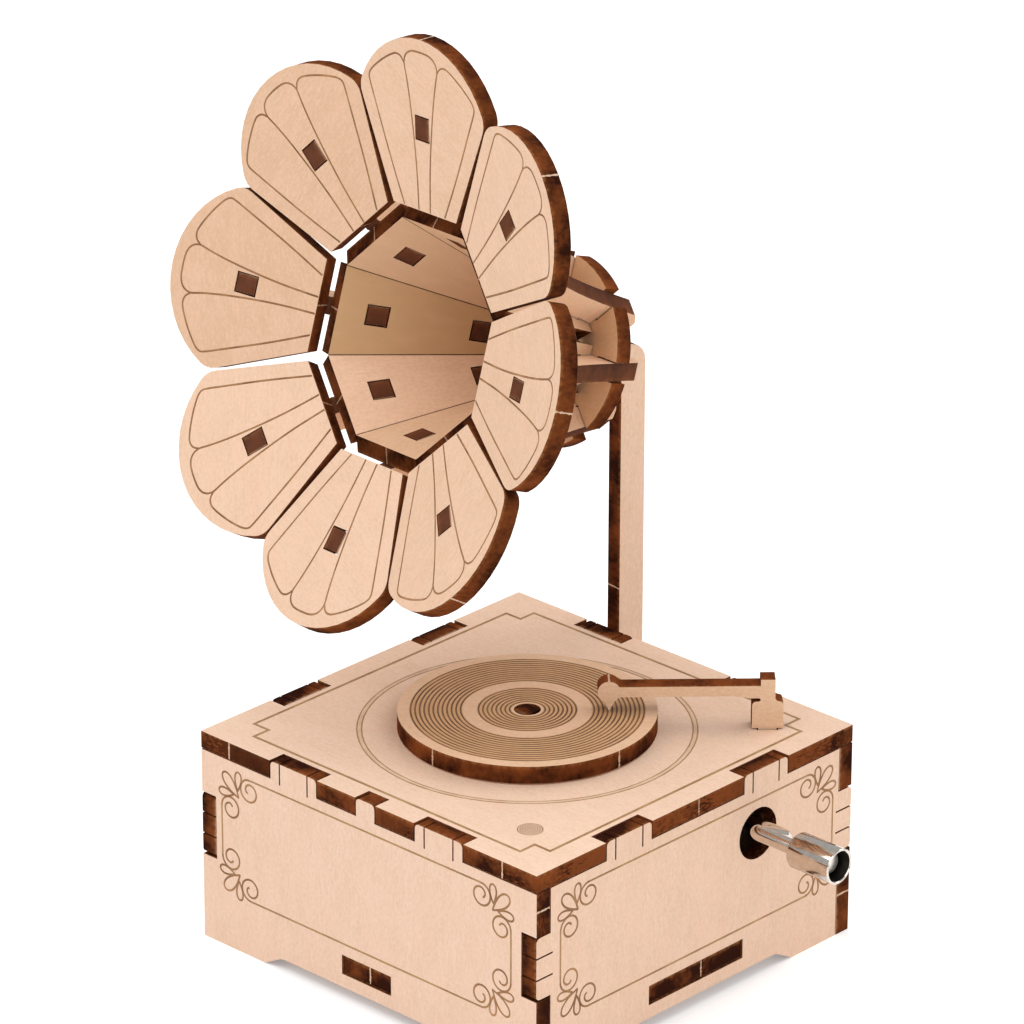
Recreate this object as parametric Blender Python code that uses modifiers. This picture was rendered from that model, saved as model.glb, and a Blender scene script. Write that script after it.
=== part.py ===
"""A gramophone music box cut from thin plywood.

A square box with finger joints carries a record, a tonearm and, on a post behind it, a flower
horn of eight petals, eight funnel boards and eight ribs that lock together with tabs and slots.
A bent wire crank in the side turns a worm, which turns the pinned cylinder of a small movement
on the floor of the box. The origin is the centre of the underside of the floor plate.
"""

import math

import bmesh
import bpy
from mathutils import Matrix, Vector

# Sheet and fits
PLY = 0.0030
FIT = 0.00025
RUNNING_GAP = 0.0001
SEAM_GAP = 0.00005
RELIEF_SLIT = 0.0003
SLIT_BELOW_SHOULDER = 0.0005
OVERRUN = 0.0010

# Box
BOX_WIDTH = 0.0750
BOX_DEPTH = 0.0750
BOX_HEIGHT = 0.0374
FLOOR_RISE = 0.0048
FOOT_LENGTH = 0.0141
FOOT_CURVE = 0.0040
FOOT_LIFT = 0.0022
FOOT_ROUNDING = 0.0030
TOP_TAB_OFFSET = 0.01625
TOP_TAB_WIDTH = 0.0104
TOP_SLIT_INSET = 0.0019
MIDDLE_TAB_WIDTH = 0.0041
CORNER_TAB_LOW = 0.0154
CORNER_TAB_HIGH = 0.0263
CORNER_SLIT_INSET = 0.0034
TAB_ROUNDING = 0.0008
FLOOR_TAB_FRONT = 0.0106
FLOOR_TAB_SIDE = 0.0220
FLOOR_TAB_RECESS = 0.0003

# Record and the peg it turns on
RECORD_RADIUS = 0.0212
RECORD_GAP = 0.0003
PEG_HEAD_WIDTH = 0.0080
PEG_HEAD_HEIGHT = 0.0030

# Tonearm, in its own upright plane: distances from the record's centre, heights above the plate
TONEARM_ANGLE = math.radians(45)
ARM_FOOT_DISTANCE = 0.0390
ARM_FOOT_WIDTH = 0.0051
ARM_FOOT_TAB = 0.0030
ARM_SHOULDER_HEIGHT = 0.0050
ARM_SHOULDER_ROUNDING = 0.0007
ARM_NECK_WIDTH = 0.0024
ARM_NECK_HEIGHT = 0.0089
ARM_TOP = 0.0078
ARM_BOTTOM = 0.0060
ARM_HAUNCH_LENGTH = 0.0030
ARM_HAUNCH_DROP = 0.0004
ARM_CREASE_ROUNDING = 0.0003
HEAD_DISTANCE = 0.0132
HEAD_HEIGHT = 0.00695
HEAD_RADIUS = 0.00185
NEEDLE_LEFT_ANGLE = math.radians(245)
NEEDLE_RIGHT_ANGLE = math.radians(300)

# Post behind the box
POST_X = -0.0160
POST_DEPTH = 0.0052
POST_BOTTOM = 0.0002
POST_ROUNDING = 0.0035
POST_INNER_ROUNDING = 0.0010
POST_TAB_LOW_STARTS = (0.0070, 0.0190)
POST_TAB_HEIGHT = 0.0060
POST_ARM_HEIGHT = 0.0042
POST_TENON_HEIGHT = 0.0030

# Horn: its axis leaves the post's front edge, turned to one side and tilted up
HORN_TURN = math.radians(6.6)
HORN_TILT = math.radians(17.9)
HORN_ROLL = math.radians(2.6)
HORN_AXIS_ABOVE_PLATE = 0.0500
MOUTH_TO_POST = 0.0460
SECTORS = 8
HALF_SECTOR = math.pi / SECTORS

# Funnel boards
MOUTH_APOTHEM = 0.01814
CONE_LENGTH = 0.0498
FRONT_SLOT_START = 0.0050
FRONT_SLOT_END = 0.0091
REAR_SLOT_LENGTH = 0.0040
REAR_SLOT_BEFORE_DISC = 0.0030

# Petals, measured outward along their front face
PETAL_LEAN = math.radians(17.7)
PETAL_RADIUS = 0.0203
PETAL_ADVANCE = 0.0023
PETAL_INSET = 0.0003
PETAL_HALF_WIDTH = 0.0076
PETAL_SIDE_ANGLE = math.radians(23.2)
PETAL_END_CENTRE = 0.0126
PETAL_END_RADIUS = 0.0164
PETAL_CORNER_RADIUS = 0.0035
PETAL_SLOT_START = 0.0121
PETAL_SLOT_END = 0.0163

# Rear disc and ribs, with depths measured behind the mouth
DISC_BEFORE_TAIL = 0.0042
DISC_RADIUS = 0.0162
HALVING_RADIUS = 0.0120
RIB_SHOULDER = 0.0012
RIB_TAIL_RADIUS = 0.0138
RIB_HEEL_LENGTH = 0.0030
RIB_HEEL_RADIUS = 0.0103
RIB_HEEL_DEPTH = 0.0409
RIB_INNER_RADIUS = 0.0075
RIB_TAIL_ROUNDING = 0.0010
RIB_HEEL_ROUNDING = 0.0020
RIB_TIP_ROUNDING = 0.0006
FLARE_NEAR_SHARES = (0.58, 0.18)
FLARE_FAR_SHARES = (0.79, 0.53)

# Crank, in nickel-plated wire
CRANK_Y = 0.0145
CRANK_RISE = 0.0274
CRANK_HOLE_RADIUS = 0.0045
CRANK_HOLE_DROP = 0.0014
WIRE_RADIUS = 0.00125
WIRE_BEND = 0.0022
CRANK_CLEARANCE = 0.0066
CRANK_THROW = 0.0097
CRANK_REST_ANGLE = math.radians(153)
WIRE_END_RECESS = 0.0023
WIRE_HEAD_RADIUS = 0.0018
WIRE_HEAD_LENGTH = 0.0009
WIRE_HEAD_CHAMFER = 0.0003
KNOB_FROM_ELBOW = 0.0093
KNOB_LENGTH = 0.0088
KNOB_RADIUS = 0.0030
KNOB_WALL = 0.00045
KNOB_CUP_DEPTH = 0.0033
KNOB_EDGE = 0.0004

# Worm and gear
GEAR_X = 0.0080
GEAR_TEETH = 18
WORM_LEAD = 0.0022
WORM_CENTRES = 0.0085
WORM_CORE_RADIUS = 0.0016
WORM_THREAD_RADIUS = 0.00055
WORM_THREAD_CENTRE = 0.00195
WORM_TURNS = 4
GEAR_WIDTH = 0.0020
GEAR_TIP_RADIUS = 0.0067
GEAR_ROOT_RADIUS = 0.0058
GEAR_TIP_LAND = 0.0005
GEAR_ROOT_LAND = 0.0010
SHAFT_RADIUS = 0.00125
HUB_RADIUS = 0.0025
HUB_LENGTH = 0.0080
HUB_BORE_DEPTH = 0.0060

# Cylinder, comb and bed
CYLINDER_RADIUS = 0.0065
CYLINDER_LENGTH = 0.0175
CYLINDER_WALL = 0.0006
ARBOR_RADIUS = 0.0010
BED_THICKNESS = 0.0025
BED_MARGIN = 0.0015
LUG_THICKNESS = 0.0020
LUG_WALL = 0.0019
LUG_GAP = 0.0040
ARBOR_LUG_THICKNESS = 0.0015
COMB_THICKNESS = 0.0010
COMB_TEETH = 18
COMB_PITCH = 0.00085
COMB_SLIT = 0.0003
COMB_TIP_GAP = 0.0006
COMB_BASE_DEPTH = 0.0075
COMB_SHORT_TOOTH = 0.0040
COMB_LONG_TOOTH = 0.0058
SCREW_SHANK_RADIUS = 0.0010
SCREW_HEAD_RADIUS = 0.0020
SCREW_HEAD_HEIGHT = 0.0012
SCREW_BITE = 0.0020

# Levels and reaches that follow from the sizes above
TABLE_Z = -FLOOR_RISE
PLATE_TOP = BOX_HEIGHT - FLOOR_RISE
PLATE_BOTTOM = PLATE_TOP - PLY
SHOULDER_Z = PLATE_BOTTOM - FIT
RECORD_TOP = PLATE_TOP + RECORD_GAP + PLY
SHAFT_Z = CRANK_RISE - FLOOR_RISE
GEAR_Z = SHAFT_Z - WORM_CENTRES
CONE_TAPER = math.atan2(MOUTH_APOTHEM, CONE_LENGTH)
POST_Y = BOX_DEPTH / 2 + FIT + PLY / 2 * math.sin(HORN_TURN)
AXIS_Z = PLATE_TOP + HORN_AXIS_ABOVE_PLATE
RIB_TAIL_DEPTH = RIB_HEEL_DEPTH - RIB_HEEL_LENGTH
DISC_DEPTH = RIB_TAIL_DEPTH - DISC_BEFORE_TAIL - PLY
REAR_SLOT_END = DISC_DEPTH - REAR_SLOT_BEFORE_DISC
REAR_SLOT_START = REAR_SLOT_END - REAR_SLOT_LENGTH
CRANK_ELBOW_X = BOX_WIDTH / 2 + CRANK_CLEARANCE
KNOB_START_X = CRANK_ELBOW_X + KNOB_FROM_ELBOW
KNOB_END_X = KNOB_START_X + KNOB_LENGTH
WIRE_END_X = KNOB_END_X - WIRE_END_RECESS
HUB_START_X = GEAR_X + WORM_LEAD * WORM_TURNS / 2 + LUG_GAP + LUG_THICKNESS + OVERRUN
INNER_LUG_X = GEAR_X - WORM_LEAD * WORM_TURNS / 2 - LUG_GAP - LUG_THICKNESS / 2
OUTER_LUG_X = GEAR_X + WORM_LEAD * WORM_TURNS / 2 + LUG_GAP + LUG_THICKNESS / 2
BED_Z = PLY + FIT
BED_TOP = BED_Z + BED_THICKNESS
CYLINDER_HIGH_Y = CRANK_Y - GEAR_WIDTH / 2 - FIT
CYLINDER_LOW_Y = CYLINDER_HIGH_Y - CYLINDER_LENGTH
REAR_LUG_Y = CRANK_Y + GEAR_WIDTH / 2 + OVERRUN + ARBOR_LUG_THICKNESS / 2
FRONT_LUG_Y = CYLINDER_LOW_Y - OVERRUN - ARBOR_LUG_THICKNESS / 2
COMB_TIP_X = GEAR_X - CYLINDER_RADIUS - COMB_TIP_GAP
COMB_ROOT_X = COMB_TIP_X - COMB_LONG_TOOTH
COMB_BACK_X = COMB_ROOT_X - COMB_BASE_DEPTH
COMB_WIDTH = COMB_TEETH * COMB_PITCH
COMB_HIGH_Y = CRANK_Y - SHAFT_RADIUS - LUG_WALL - FIT - OVERRUN
COMB_LOW_Y = COMB_HIGH_Y - COMB_WIDTH
COMB_Z = GEAR_Z
SHELF_TOP = COMB_Z - COMB_THICKNESS / 2 - FIT
BED_X_LOW = COMB_BACK_X - BED_MARGIN
BED_X_HIGH = OUTER_LUG_X + LUG_THICKNESS / 2 + BED_MARGIN
BED_SCREW_LIMIT_Y = min(FRONT_LUG_Y - ARBOR_LUG_THICKNESS / 2, COMB_LOW_Y - FIT)
BED_Y_LOW = BED_SCREW_LIMIT_Y - BED_MARGIN - 2 * SCREW_HEAD_RADIUS
BED_Y_HIGH = REAR_LUG_Y + ARBOR_LUG_THICKNESS / 2 + BED_MARGIN

# How finely round shapes are cut
RIM_STEPS = 96
HOLE_STEPS = 32
SCREW_STEPS = 16
FILLET_STEPS = 4
UPRIGHT = math.pi / 2


def clear_scene():
    for old in list(bpy.data.objects):
        bpy.data.objects.remove(old)


def new_collection(name):
    found = bpy.data.collections.new(name)
    bpy.context.scene.collection.children.link(found)
    return found


def finish(name, colour, roughness, metallic=0.0):
    """A Principled material, made once for each name."""
    if name in bpy.data.materials:
        return bpy.data.materials[name]
    made = bpy.data.materials.new(name)
    made.use_nodes = True
    shader = made.node_tree.nodes["Principled BSDF"]
    shader.inputs["Base Color"].default_value = (*colour, 1.0)
    shader.inputs["Roughness"].default_value = roughness
    shader.inputs["Metallic"].default_value = metallic
    made.diffuse_color = (*colour, 1.0)
    return made


def placed(name, data, skin, place=(0, 0, 0), turn=(0, 0, 0), parent=None):
    """Link an object for this mesh or curve, at its place and turn under its parent."""
    obj = bpy.data.objects.new(name, data)
    parts.objects.link(obj)
    obj.location = place
    obj.rotation_euler = turn
    obj.parent = parent
    data.materials.append(skin)
    return obj


def frame_empty(name, place=(0, 0, 0), turn=(0, 0, 0), parent=None):
    empty = bpy.data.objects.new(name, None)
    parts.objects.link(empty)
    empty.location = place
    empty.rotation_euler = turn
    empty.parent = parent
    return empty


# Outlines

def arc(centre, radius, start, end, steps):
    """Points along an arc, both ends included."""
    angles = [start + (end - start) * step / steps for step in range(steps + 1)]
    return [(centre[0] + radius * math.cos(a), centre[1] + radius * math.sin(a)) for a in angles]


def circle(centre, radius, steps):
    return arc(centre, radius, 0, 2 * math.pi, steps)[:-1]


def rectangle(centre, width, height, turn=0.0):
    """The four corners of a rectangle, turned about its centre."""
    corners = ((-width, -height), (width, -height), (width, height), (-width, height))
    cos, sin = math.cos(turn), math.sin(turn)
    return [
        (centre[0] + (x * cos - y * sin) / 2, centre[1] + (x * sin + y * cos) / 2)
        for x, y in corners
    ]


def stepped_edge(start, end, runs, rounding=0.0):
    """One straight side of an outline, with tabs and notches.

    Each run is (from, to, height), measured along the side and square to it: a tab has a
    height above zero and a notch one below it. The outline is followed anticlockwise. Each
    point comes with the radius that rounds it, which only the tips of tabs have.
    """
    start, end = Vector(start), Vector(end)
    along = (end - start).normalized()
    outward = Vector((along.y, -along.x))
    levels = []
    reached = 0.0
    for low, high, height in runs:
        if low > reached:
            levels.append((reached, low, 0.0))
        levels.append((low, high, height))
        reached = high
    levels.append((reached, (end - start).length, 0.0))
    points = []
    for index, (low, high, height) in enumerate(levels):
        before = levels[index - 1][2] if index else height
        after = levels[index + 1][2] if index + 1 < len(levels) else height
        for distance, neighbour in ((low, before), (high, after)):
            spot = start + along * distance + outward * height
            rounded_here = height > 0 and neighbour == 0
            points.append((spot.x, spot.y, rounding if rounded_here else 0.0))
    return points


def relieved_tab(centre, width, height, slit_inset):
    """A wide tab split by two relief slits, as runs for stepped_edge."""
    low, high = centre - width / 2, centre + width / 2
    first, second = low + slit_inset, high - slit_inset - RELIEF_SLIT
    return [
        (low, first, height),
        (first, first + RELIEF_SLIT, -SLIT_BELOW_SHOULDER),
        (first + RELIEF_SLIT, second, height),
        (second, second + RELIEF_SLIT, -SLIT_BELOW_SHOULDER),
        (second + RELIEF_SLIT, high, height),
    ]


def rounded(outline, steps=FILLET_STEPS, closed=True):
    """Replace each corner (point, radius) by an arc. Works on 2D and 3D points alike."""
    spots = [(Vector(corner[:-1]), corner[-1]) for corner in outline]
    kept = [spots[0]]
    for spot in spots[1:]:
        if (spot[0] - kept[-1][0]).length > RUNNING_GAP / 10:
            kept.append(spot)
    if closed and (kept[0][0] - kept[-1][0]).length < RUNNING_GAP / 10:
        kept.pop()
    points = []
    for index, (corner, radius) in enumerate(kept):
        at_end = not closed and index in (0, len(kept) - 1)
        if radius == 0 or at_end:
            points.append(tuple(corner))
            continue
        to_last = kept[index - 1][0] - corner
        to_next = kept[(index + 1) % len(kept)][0] - corner
        half_angle = to_last.angle(to_next) / 2
        reach = radius / math.tan(half_angle)
        reach = min(reach, to_last.length / 2, to_next.length / 2)
        radius = reach * math.tan(half_angle)
        middle = (to_last.normalized() + to_next.normalized()).normalized()
        centre = corner + middle * (radius / math.sin(half_angle))
        first = corner + to_last.normalized() * reach - centre
        last = corner + to_next.normalized() * reach - centre
        swing = first.angle(last)
        for step in range(steps + 1):
            share = step / steps
            near = first * (math.sin((1 - share) * swing) / math.sin(swing))
            far = last * (math.sin(share * swing) / math.sin(swing))
            points.append(tuple(centre + near + far))
    return points


def board(name, loops, thickness, skin, place=(0, 0, 0), turn=(0, 0, 0), parent=None):
    """A flat piece: the first loop is its outline and the others are its holes."""
    curve = bpy.data.curves.new(name, "CURVE")
    curve.dimensions = "2D"
    curve.fill_mode = "BOTH"
    curve.extrude = thickness / 2
    for loop in loops:
        spline = curve.splines.new("POLY")
        spline.points.add(len(loop) - 1)
        for point, (x, y) in zip(spline.points, loop):
            point.co = (x, y, 0, 1)
        spline.use_cyclic_u = True
    return placed(name, curve, skin, place, turn, parent)


# Solids

def turned(name, profile, steps, skin, place=(0, 0, 0), turn=(0, 0, 0), parent=None, ring=False):
    """A turned piece: (radius, height) points down its outer side, spun about its own Z."""
    mesh = bpy.data.meshes.new(name)
    links = [(i, i + 1) for i in range(len(profile) - 1)]
    if ring:
        links.append((len(profile) - 1, 0))
    mesh.from_pydata([(radius, 0, height) for radius, height in profile], links, [])
    obj = placed(name, mesh, skin, place, turn, parent)
    screw = obj.modifiers.new("turning", "SCREW")
    screw.axis = "Z"
    screw.steps = steps
    screw.render_steps = steps
    screw.use_merge_vertices = True
    screw.merge_threshold = RUNNING_GAP / 10
    screw.use_smooth_shade = True
    return obj


def wire(name, points, radius, resolution, skin, place=(0, 0, 0), parent=None):
    """A round wire with closed ends along straight runs between its points."""
    curve = bpy.data.curves.new(name, "CURVE")
    curve.dimensions = "3D"
    curve.bevel_depth = radius
    curve.bevel_resolution = resolution
    curve.use_fill_caps = True
    spline = curve.splines.new("POLY")
    spline.points.add(len(points) - 1)
    for point, spot in zip(spline.points, points):
        point.co = (*spot, 1)
    spline.use_smooth = True
    return placed(name, curve, skin, place, parent=parent)


def as_mesh(obj):
    """Swap a curve or modified object for its finished mesh, with its caps welded on."""
    bpy.context.view_layer.update()
    graph = bpy.context.evaluated_depsgraph_get()
    mesh = bpy.data.meshes.new_from_object(obj.evaluated_get(graph))
    work = bmesh.new()
    work.from_mesh(mesh)
    bmesh.ops.remove_doubles(work, verts=work.verts, dist=RUNNING_GAP / 100)
    bmesh.ops.recalc_face_normals(work, faces=work.faces)
    work.to_mesh(mesh)
    work.free()
    name, matrix, parent = obj.name, obj.matrix_world.copy(), obj.parent
    bpy.data.objects.remove(obj)
    solid = bpy.data.objects.new(name, mesh)
    mesh.name = name
    parts.objects.link(solid)
    solid.parent = parent
    solid.matrix_world = matrix
    return solid


def plain_facets(solid):
    """Share a flat board's faces out among well-shaped triangles."""
    work = bmesh.new()
    work.from_mesh(solid.data)
    flat = math.radians(1)
    bmesh.ops.dissolve_limit(work, angle_limit=flat, verts=work.verts, edges=work.edges)
    bmesh.ops.triangulate(work, faces=work.faces, ngon_method="BEAUTY")
    work.to_mesh(solid.data)
    work.free()


def combine(target, tool, operation):
    """Join a tool to a solid or cut it out, and file the tool with the cutters."""
    tool.name = f"{target.name}_{operation.lower()}_{len(target.modifiers)}"
    parts.objects.unlink(tool)
    cutters.objects.link(tool)
    tool.hide_render = True
    tool.display_type = "WIRE"
    change = target.modifiers.new(tool.name, "BOOLEAN")
    change.operation = operation
    change.solver = "EXACT"
    change.object = tool


# Box

def wall(name, box_half, inset, end_runs, with_middle, holes, skin, place, turn):
    """A side of the box: feet below, tabs into the top plate above, finger joints at its ends."""
    half_length = box_half - inset
    foot_end = box_half - FOOT_LENGTH
    lift_end = foot_end - FOOT_CURVE
    raised = TABLE_Z + FOOT_LIFT
    height = SHOULDER_Z - TABLE_Z
    mirrored = [(height - high, height - low, out) for low, high, out in reversed(end_runs)]
    outline = [
        (-half_length, TABLE_Z, 0.0),
        (-foot_end, TABLE_Z, FOOT_ROUNDING),
        (-lift_end, raised, FOOT_ROUNDING),
        (lift_end, raised, FOOT_ROUNDING),
        (foot_end, TABLE_Z, FOOT_ROUNDING),
    ]
    corners = (half_length, TABLE_Z), (half_length, SHOULDER_Z)
    outline += stepped_edge(*corners, end_runs, TAB_ROUNDING)
    corners = (half_length, SHOULDER_Z), (-half_length, SHOULDER_Z)
    outline += stepped_edge(*corners, top_tabs(half_length, with_middle), TAB_ROUNDING)
    corners = (-half_length, SHOULDER_Z), (-half_length, TABLE_Z)
    outline += stepped_edge(*corners, mirrored, TAB_ROUNDING)
    return board(name, [rounded(outline)] + holes, PLY, skin, place, turn)


def top_tabs(half_length, with_middle):
    """The tabs along a wall's upper edge, as runs from one end of the wall."""
    height = PLY + FIT
    tab = TOP_TAB_WIDTH, height, TOP_SLIT_INSET
    found = relieved_tab(half_length - TOP_TAB_OFFSET, *tab)
    if with_middle:
        half = MIDDLE_TAB_WIDTH / 2
        found.append((half_length - half, half_length + half, height))
    return found + relieved_tab(half_length + TOP_TAB_OFFSET, *tab)


def floor_slot(width):
    """The closed slot in a wall for one tab of the floor plate."""
    return rectangle((0, PLY / 2), width + 2 * FIT, PLY + 2 * FIT)


def build_walls():
    face = finish("wall_ply", (0.80, 0.57, 0.38), 0.62)
    notch = [(CORNER_TAB_LOW - FIT, CORNER_TAB_HIGH + FIT, -(PLY + FIT))]
    middle = (CORNER_TAB_LOW + CORNER_TAB_HIGH) / 2
    span = CORNER_TAB_HIGH - CORNER_TAB_LOW
    fingers = relieved_tab(middle, span, PLY + FIT, CORNER_SLIT_INSET)
    reach_x = (BOX_WIDTH - PLY) / 2
    reach_y = (BOX_DEPTH - PLY) / 2
    front_size, side_size = (BOX_WIDTH / 2, 0), (BOX_DEPTH / 2, PLY + FIT)
    front_turn = (UPRIGHT, 0, 0)
    side_turn = (UPRIGHT, 0, math.pi / 2)
    front_holes = [floor_slot(FLOOR_TAB_FRONT)]
    side_holes = [floor_slot(FLOOR_TAB_SIDE)]
    crank_centre = (CRANK_Y, SHAFT_Z - CRANK_HOLE_DROP)
    crank_holes = side_holes + [circle(crank_centre, CRANK_HOLE_RADIUS, HOLE_STEPS)]

    wall("front_panel", *front_size, notch, True, front_holes, face,
         (0, -reach_y, 0), front_turn)
    wall("back_panel", *front_size, notch, False, front_holes + post_slots(), face,
         (0, reach_y, 0), front_turn)
    wall("left_panel", *side_size, fingers, False, side_holes, face,
         (-reach_x, 0, 0), side_turn)
    wall("right_panel", *side_size, fingers, False, crank_holes, face,
         (reach_x, 0, 0), side_turn)


def post_slots():
    """Slots in the back panel, wide enough for the post's tabs to pass at the horn's turn."""
    width = PLY / math.cos(HORN_TURN) + PLY * math.tan(HORN_TURN) + 2 * FIT
    centre_x = POST_X - (FIT + PLY / 2) * math.tan(HORN_TURN)
    height = POST_TAB_HEIGHT + 2 * FIT
    return [
        rectangle((centre_x, low + POST_TAB_HEIGHT / 2), width, height)
        for low in POST_TAB_LOW_STARTS
    ]


def build_top_plate():
    face = finish("plate_ply", (0.80, 0.58, 0.40), 0.60)
    half_x, half_y = BOX_WIDTH / 2, BOX_DEPTH / 2
    depth = -(PLY + FIT)
    half_tab = TOP_TAB_WIDTH / 2 + FIT
    half_middle = MIDDLE_TAB_WIDTH / 2 + FIT

    def notches(half, with_middle=False):
        first, second = half - TOP_TAB_OFFSET, half + TOP_TAB_OFFSET
        found = [(first - half_tab, first + half_tab, depth)]
        if with_middle:
            found.append((half - half_middle, half + half_middle, depth))
        return found + [(second - half_tab, second + half_tab, depth)]

    outline = stepped_edge((-half_x, -half_y), (half_x, -half_y), notches(half_x, True))
    outline += stepped_edge((half_x, -half_y), (half_x, half_y), notches(half_y))
    outline += stepped_edge((half_x, half_y), (-half_x, half_y), notches(half_x))
    outline += stepped_edge((-half_x, half_y), (-half_x, -half_y), notches(half_y))

    peg_hole = circle((0, 0), PLY / math.sqrt(2) + RUNNING_GAP, HOLE_STEPS)
    foot_x = ARM_FOOT_DISTANCE * math.cos(TONEARM_ANGLE)
    foot_y = ARM_FOOT_DISTANCE * math.sin(TONEARM_ANGLE)
    slot = ARM_FOOT_TAB + 2 * FIT, PLY + 2 * FIT
    arm_slot = rectangle((foot_x, foot_y), *slot, TONEARM_ANGLE)
    board("top_plate", [rounded(outline), peg_hole, arm_slot], PLY, face,
          (0, 0, PLATE_BOTTOM + PLY / 2))


def bed_screw_places():
    """Where the three screws hold the bed to the floor plate."""
    inset = BED_MARGIN + SCREW_HEAD_RADIUS
    return [
        (BED_X_LOW + inset, BED_Y_LOW + inset),
        (BED_X_LOW + inset, BED_Y_HIGH - inset),
        (BED_X_HIGH - inset, BED_Y_LOW + inset),
    ]


def build_floor_plate():
    face = finish("floor_ply", (0.74, 0.52, 0.34), 0.66)
    half_x, half_y = BOX_WIDTH / 2 - PLY - FIT, BOX_DEPTH / 2 - PLY - FIT
    out = PLY + FIT - FLOOR_TAB_RECESS

    def tab(half, width):
        return [(half - width / 2, half + width / 2, out)]

    front, side = tab(half_x, FLOOR_TAB_FRONT), tab(half_y, FLOOR_TAB_SIDE)
    outline = stepped_edge((-half_x, -half_y), (half_x, -half_y), front)
    outline += stepped_edge((half_x, -half_y), (half_x, half_y), side)
    outline += stepped_edge((half_x, half_y), (-half_x, half_y), front)
    outline += stepped_edge((-half_x, half_y), (-half_x, -half_y), side)
    holes = [
        circle(spot, SCREW_SHANK_RADIUS + RUNNING_GAP, HOLE_STEPS // 2)
        for spot in bed_screw_places()
    ]
    plate = as_mesh(board("floor_plate", [rounded(outline)] + holes, PLY, face, (0, 0, PLY / 2)))
    plain_facets(plate)


# Record and tonearm

def build_record():
    disc_skin = finish("record_ply", (0.72, 0.50, 0.30), 0.58)
    peg_skin = finish("peg_ply", (0.20, 0.09, 0.05), 0.70)
    hole = rectangle((0, 0), PLY + 2 * FIT, PLY + 2 * FIT)
    board("record_disc", [circle((0, 0), RECORD_RADIUS, RIM_STEPS), hole], PLY, disc_skin,
          (0, 0, RECORD_TOP - PLY / 2))
    stem, head = PLY / 2, PEG_HEAD_WIDTH / 2
    head_top = PLATE_BOTTOM - FIT
    head_bottom = head_top - PEG_HEAD_HEIGHT
    outline = [
        (-head, head_bottom), (head, head_bottom), (head, head_top), (stem, head_top),
        (stem, RECORD_TOP), (-stem, RECORD_TOP), (-stem, head_top), (-head, head_top),
    ]
    board("record_peg", [outline], PLY, peg_skin, turn=(UPRIGHT, 0, 0))


def build_tonearm():
    skin = finish("tonearm_ply", (0.80, 0.58, 0.38), 0.60)
    left = ARM_FOOT_DISTANCE - ARM_FOOT_WIDTH / 2
    right = ARM_FOOT_DISTANCE + ARM_FOOT_WIDTH / 2
    tab_left = ARM_FOOT_DISTANCE - ARM_FOOT_TAB / 2
    tab_right = ARM_FOOT_DISTANCE + ARM_FOOT_TAB / 2
    neck_left = ARM_FOOT_DISTANCE - ARM_NECK_WIDTH / 2
    neck_right = ARM_FOOT_DISTANCE + ARM_NECK_WIDTH / 2
    needle_tip = RECORD_GAP + PLY + FIT
    crease_top = ARM_BOTTOM - ARM_HAUNCH_DROP
    top_angle = math.asin((ARM_TOP - HEAD_HEIGHT) / HEAD_RADIUS)
    bottom_angle = 2 * math.pi - math.asin((HEAD_HEIGHT - ARM_BOTTOM) / HEAD_RADIUS)
    head = (HEAD_DISTANCE, HEAD_HEIGHT)
    outline = [
        (left, FIT, 0.0),
        (tab_left, FIT, 0.0),
        (tab_left, -PLY, 0.0),
        (tab_right, -PLY, 0.0),
        (tab_right, FIT, 0.0),
        (right, FIT, 0.0),
        (right, ARM_SHOULDER_HEIGHT, ARM_SHOULDER_ROUNDING),
        (neck_right, ARM_SHOULDER_HEIGHT, ARM_SHOULDER_ROUNDING),
        (neck_right, ARM_NECK_HEIGHT, 0.0),
        (neck_left, ARM_NECK_HEIGHT, 0.0),
        (neck_left, ARM_TOP, 0.0),
    ]
    crown = arc(head, HEAD_RADIUS, top_angle, NEEDLE_LEFT_ANGLE, RIM_STEPS // 6)
    heel = arc(head, HEAD_RADIUS, NEEDLE_RIGHT_ANGLE, bottom_angle, FILLET_STEPS)
    outline += [(*spot, 0.0) for spot in crown]
    outline.append((HEAD_DISTANCE, needle_tip, 0.0))
    outline += [(*spot, 0.0) for spot in heel]
    outline += [
        (left - ARM_HAUNCH_LENGTH, ARM_BOTTOM, 0.0),
        (left, crease_top, 0.0),
        (neck_left, crease_top, ARM_CREASE_ROUNDING),
        (neck_left, ARM_SHOULDER_HEIGHT, ARM_CREASE_ROUNDING),
        (left, ARM_SHOULDER_HEIGHT, ARM_SHOULDER_ROUNDING),
    ]
    board("tonearm", [rounded(outline)], PLY, skin, (0, 0, PLATE_TOP), (UPRIGHT, 0, TONEARM_ANGLE))


# Horn

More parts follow.
